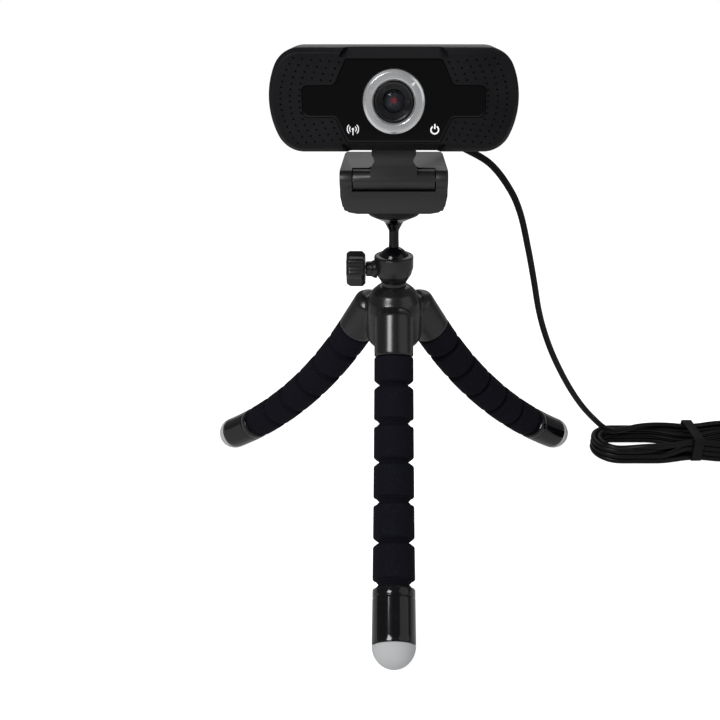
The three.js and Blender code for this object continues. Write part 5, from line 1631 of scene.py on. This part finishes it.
    def lens(self) -> None:
        """The silver focus ring and, inside it, the stepped barrel, the glass and the dark iris with its
        painted reflection, painted shade and painted glint.
        """
        about = around_y(self.centre)
        ring = filleted([(7.1, -1.6, 0.2), (7.7, -2.5, 0.3), (9.9, -2.5, 0.25), (10.75, -1.75, 0.3),
                         (10.75, 3.3, 0), (11.95, 3.3, 0), (11.95, 4.5, 0), (7.1, 4.5, 0)], steps=4)
        piece = new_object("silver_ring", lathe([*ring, ring[0]], about, 128))
        complete(piece, SILVER, "focus_ring", ("focus_ring",), smooth=22)
        self.index_mark()
        steps = filleted([(6.8, -1.2, 0.15), (6.8, 15.5, 0), (2.45, 15.5, 0), (2.45, 3.7, 0), (4.05, 3.7, 0),
                          (4.05, 1.35, 0.15), (4.75, 1.35, 0.1), (4.75, 0.7, 0.1), (5.15, 0.7, 0.1),
                          (5.15, -0.15, 0.15), (5.75, -0.15, 0.1), (5.95, -1.3, 0.2), (6.6, -1.5, 0.15)],
                         steps=3)
        piece = new_object("stepped_barrel", lathe([*steps, steps[0]], about, 96))
        complete(piece, BARREL, self.body, ("lens_barrel",), smooth=22)
        wide, crown, swell, count = 3.75, 1.5, 1.1, 14
        dome = [(wide * i / count, crown + swell * (i / count) ** 2) for i in range(count + 1)]
        piece = new_object("front_glass", lathe([*dome, (wide, 3.3), (0.0, 3.3)], about))
        complete(piece, GLASS, self.body, ("front_lens",), smooth=40)
        iris = new_object("iris_disc", lathe([(0.0, 3.38), (3.9, 3.38), (3.9, 3.6), (0.0, 3.6)], about))
        complete(iris, painted_iris_material(self.point(0, 3.38, 0)), self.body)

    def index_mark(self) -> None:
        """A small drop-shaped index on the ring's face, at its upper right."""
        angle = math.radians(42)
        along, aside = (Vector((math.cos(a), math.sin(a))) for a in (angle, angle + RIGHT_ANGLE))
        flank = [(0.22, 9.6), (0.48, 9.0), (0.5, 8.65), (0.3, 8.35)]
        drop = [(0.0, 10.0), *flank, (0.0, 8.25), *((-w, r) for w, r in reversed(flank))]
        outline = [along * r + aside * w for w, r in drop]
        rings = [[self.point(p.x, y, p.y) for p in outline] for y in (-2.4, -2.56)]
        complete(new_object("focus_index", loft(rings)), INDEX, "focus_ring")

    def relief(self) -> None:
        """The ribbed rubber sleeve where the cord leaves the back."""
        root, start, end, ribs = self.depth - 2.4, self.depth + 0.25, self.depth + 12.5, 5
        profile = [(0.0, root), (2.6, root), (2.6, start), (3.4, start), (3.55, start + 0.3),
                   (3.55, start + 1.2), (3.2, start + 1.6)]
        pitch = (end - start - 3.0) / ribs
        for s in (start + 2.0 + pitch * i for i in range(ribs)):
            r = self.relief_radius - self.relief_taper * (s - start)
            rib = [(r, 0.0), (r, 0.5), (r - 0.55, 0.6), (r - 0.55, 0.9)]
            profile += [(radius, s + pitch * share) for radius, share in rib]
        profile += [(1.95, end - 0.5), (1.85, end), (0.0, end)]
        about = around_y(self.point(self.cord_exit[0], 0, self.cord_exit[1]))
        piece = new_object("relief_ribs", lathe(profile, about, 40))
        complete(piece, CORD, self.body, ("strain_relief",), smooth=30)

    def screws(self) -> None:
        """The two case screws, each with a cross cut in its head."""
        long, short = self.cross
        for word in ("left", "right"):
            low, high = (Vector(corner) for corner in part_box(f"case_screw_{word}"))
            head = Vector(((low.x + high.x) / 2, high.y, (low.z + high.z) / 2))
            slots = []
            for half_x, half_z in ((long, short), (short, long)):
                corners = [(-half_x, -half_z), (half_x, -half_z), (half_x, half_z), (-half_x, half_z)]
                rings = [[head + Vector((x, y, z)) * MM for x, z in corners] for y in (-0.7, 0.3)]
                slots.append(new_object("slot", loft(rings)))
            piece = carve(cad_copy(f"case_screw_{word}", f"cross_screw_{word}"), slots)
            complete(piece, STEEL, self.body, (f"case_screw_{word}",), smooth=30)

    def build(self) -> None:
        """All of the webcam's pieces."""
        self.bezel()
        self.screws()
        self.shell()
        self.panel()
        self.lens()
        self.relief()


# ---------------------------------------------------------------- small carried nodes

CARRIED: dict[str, Finish] = {
    **dict.fromkeys(("hub_screw", "lock_screw", "camera_screw", "swivel_screw", "swivel_washer",
                     "clip_hinge_pin", "tilt_pin"), STEEL),
    **dict.fromkeys(("microphone_left", "microphone_right"), SILVER),
    **dict.fromkeys(("status_light", "power_light"), LIGHT),
    **dict.fromkeys(("lens_holder", "image_sensor"), BARREL),
    "thread_insert": BRASS, "platform_pad": RUBBER, "ir_filter": GLASS, "main_board": BOARD,
}


def dress_carried() -> None:
    """Gives each CAD node that stays its finish."""
    for node, finish in CARRIED.items():
        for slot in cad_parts[node].material_slots:
            slot.link = "OBJECT"
            slot.material = finish.material()
        log.info("%s: as packed, in %s", node, finish.name)


def main() -> None:
    """Builds the scene: the camera and the cord, the studio, then the tripod, the clip and the webcam."""
    logging.basicConfig(level=logging.INFO, format="%(name)s %(message)s")
    studio = Studio()
    studio.camera()
    UsbCord().build()
    studio.build()
    legs = [Leg(side) for side in Side]
    for leg in legs:
        leg.build()
    Head(root_z=legs[0].root_z).build()
    Clip().build()
    Webcam().build()
    dress_carried()


if __name__ == "__main__":
    main()
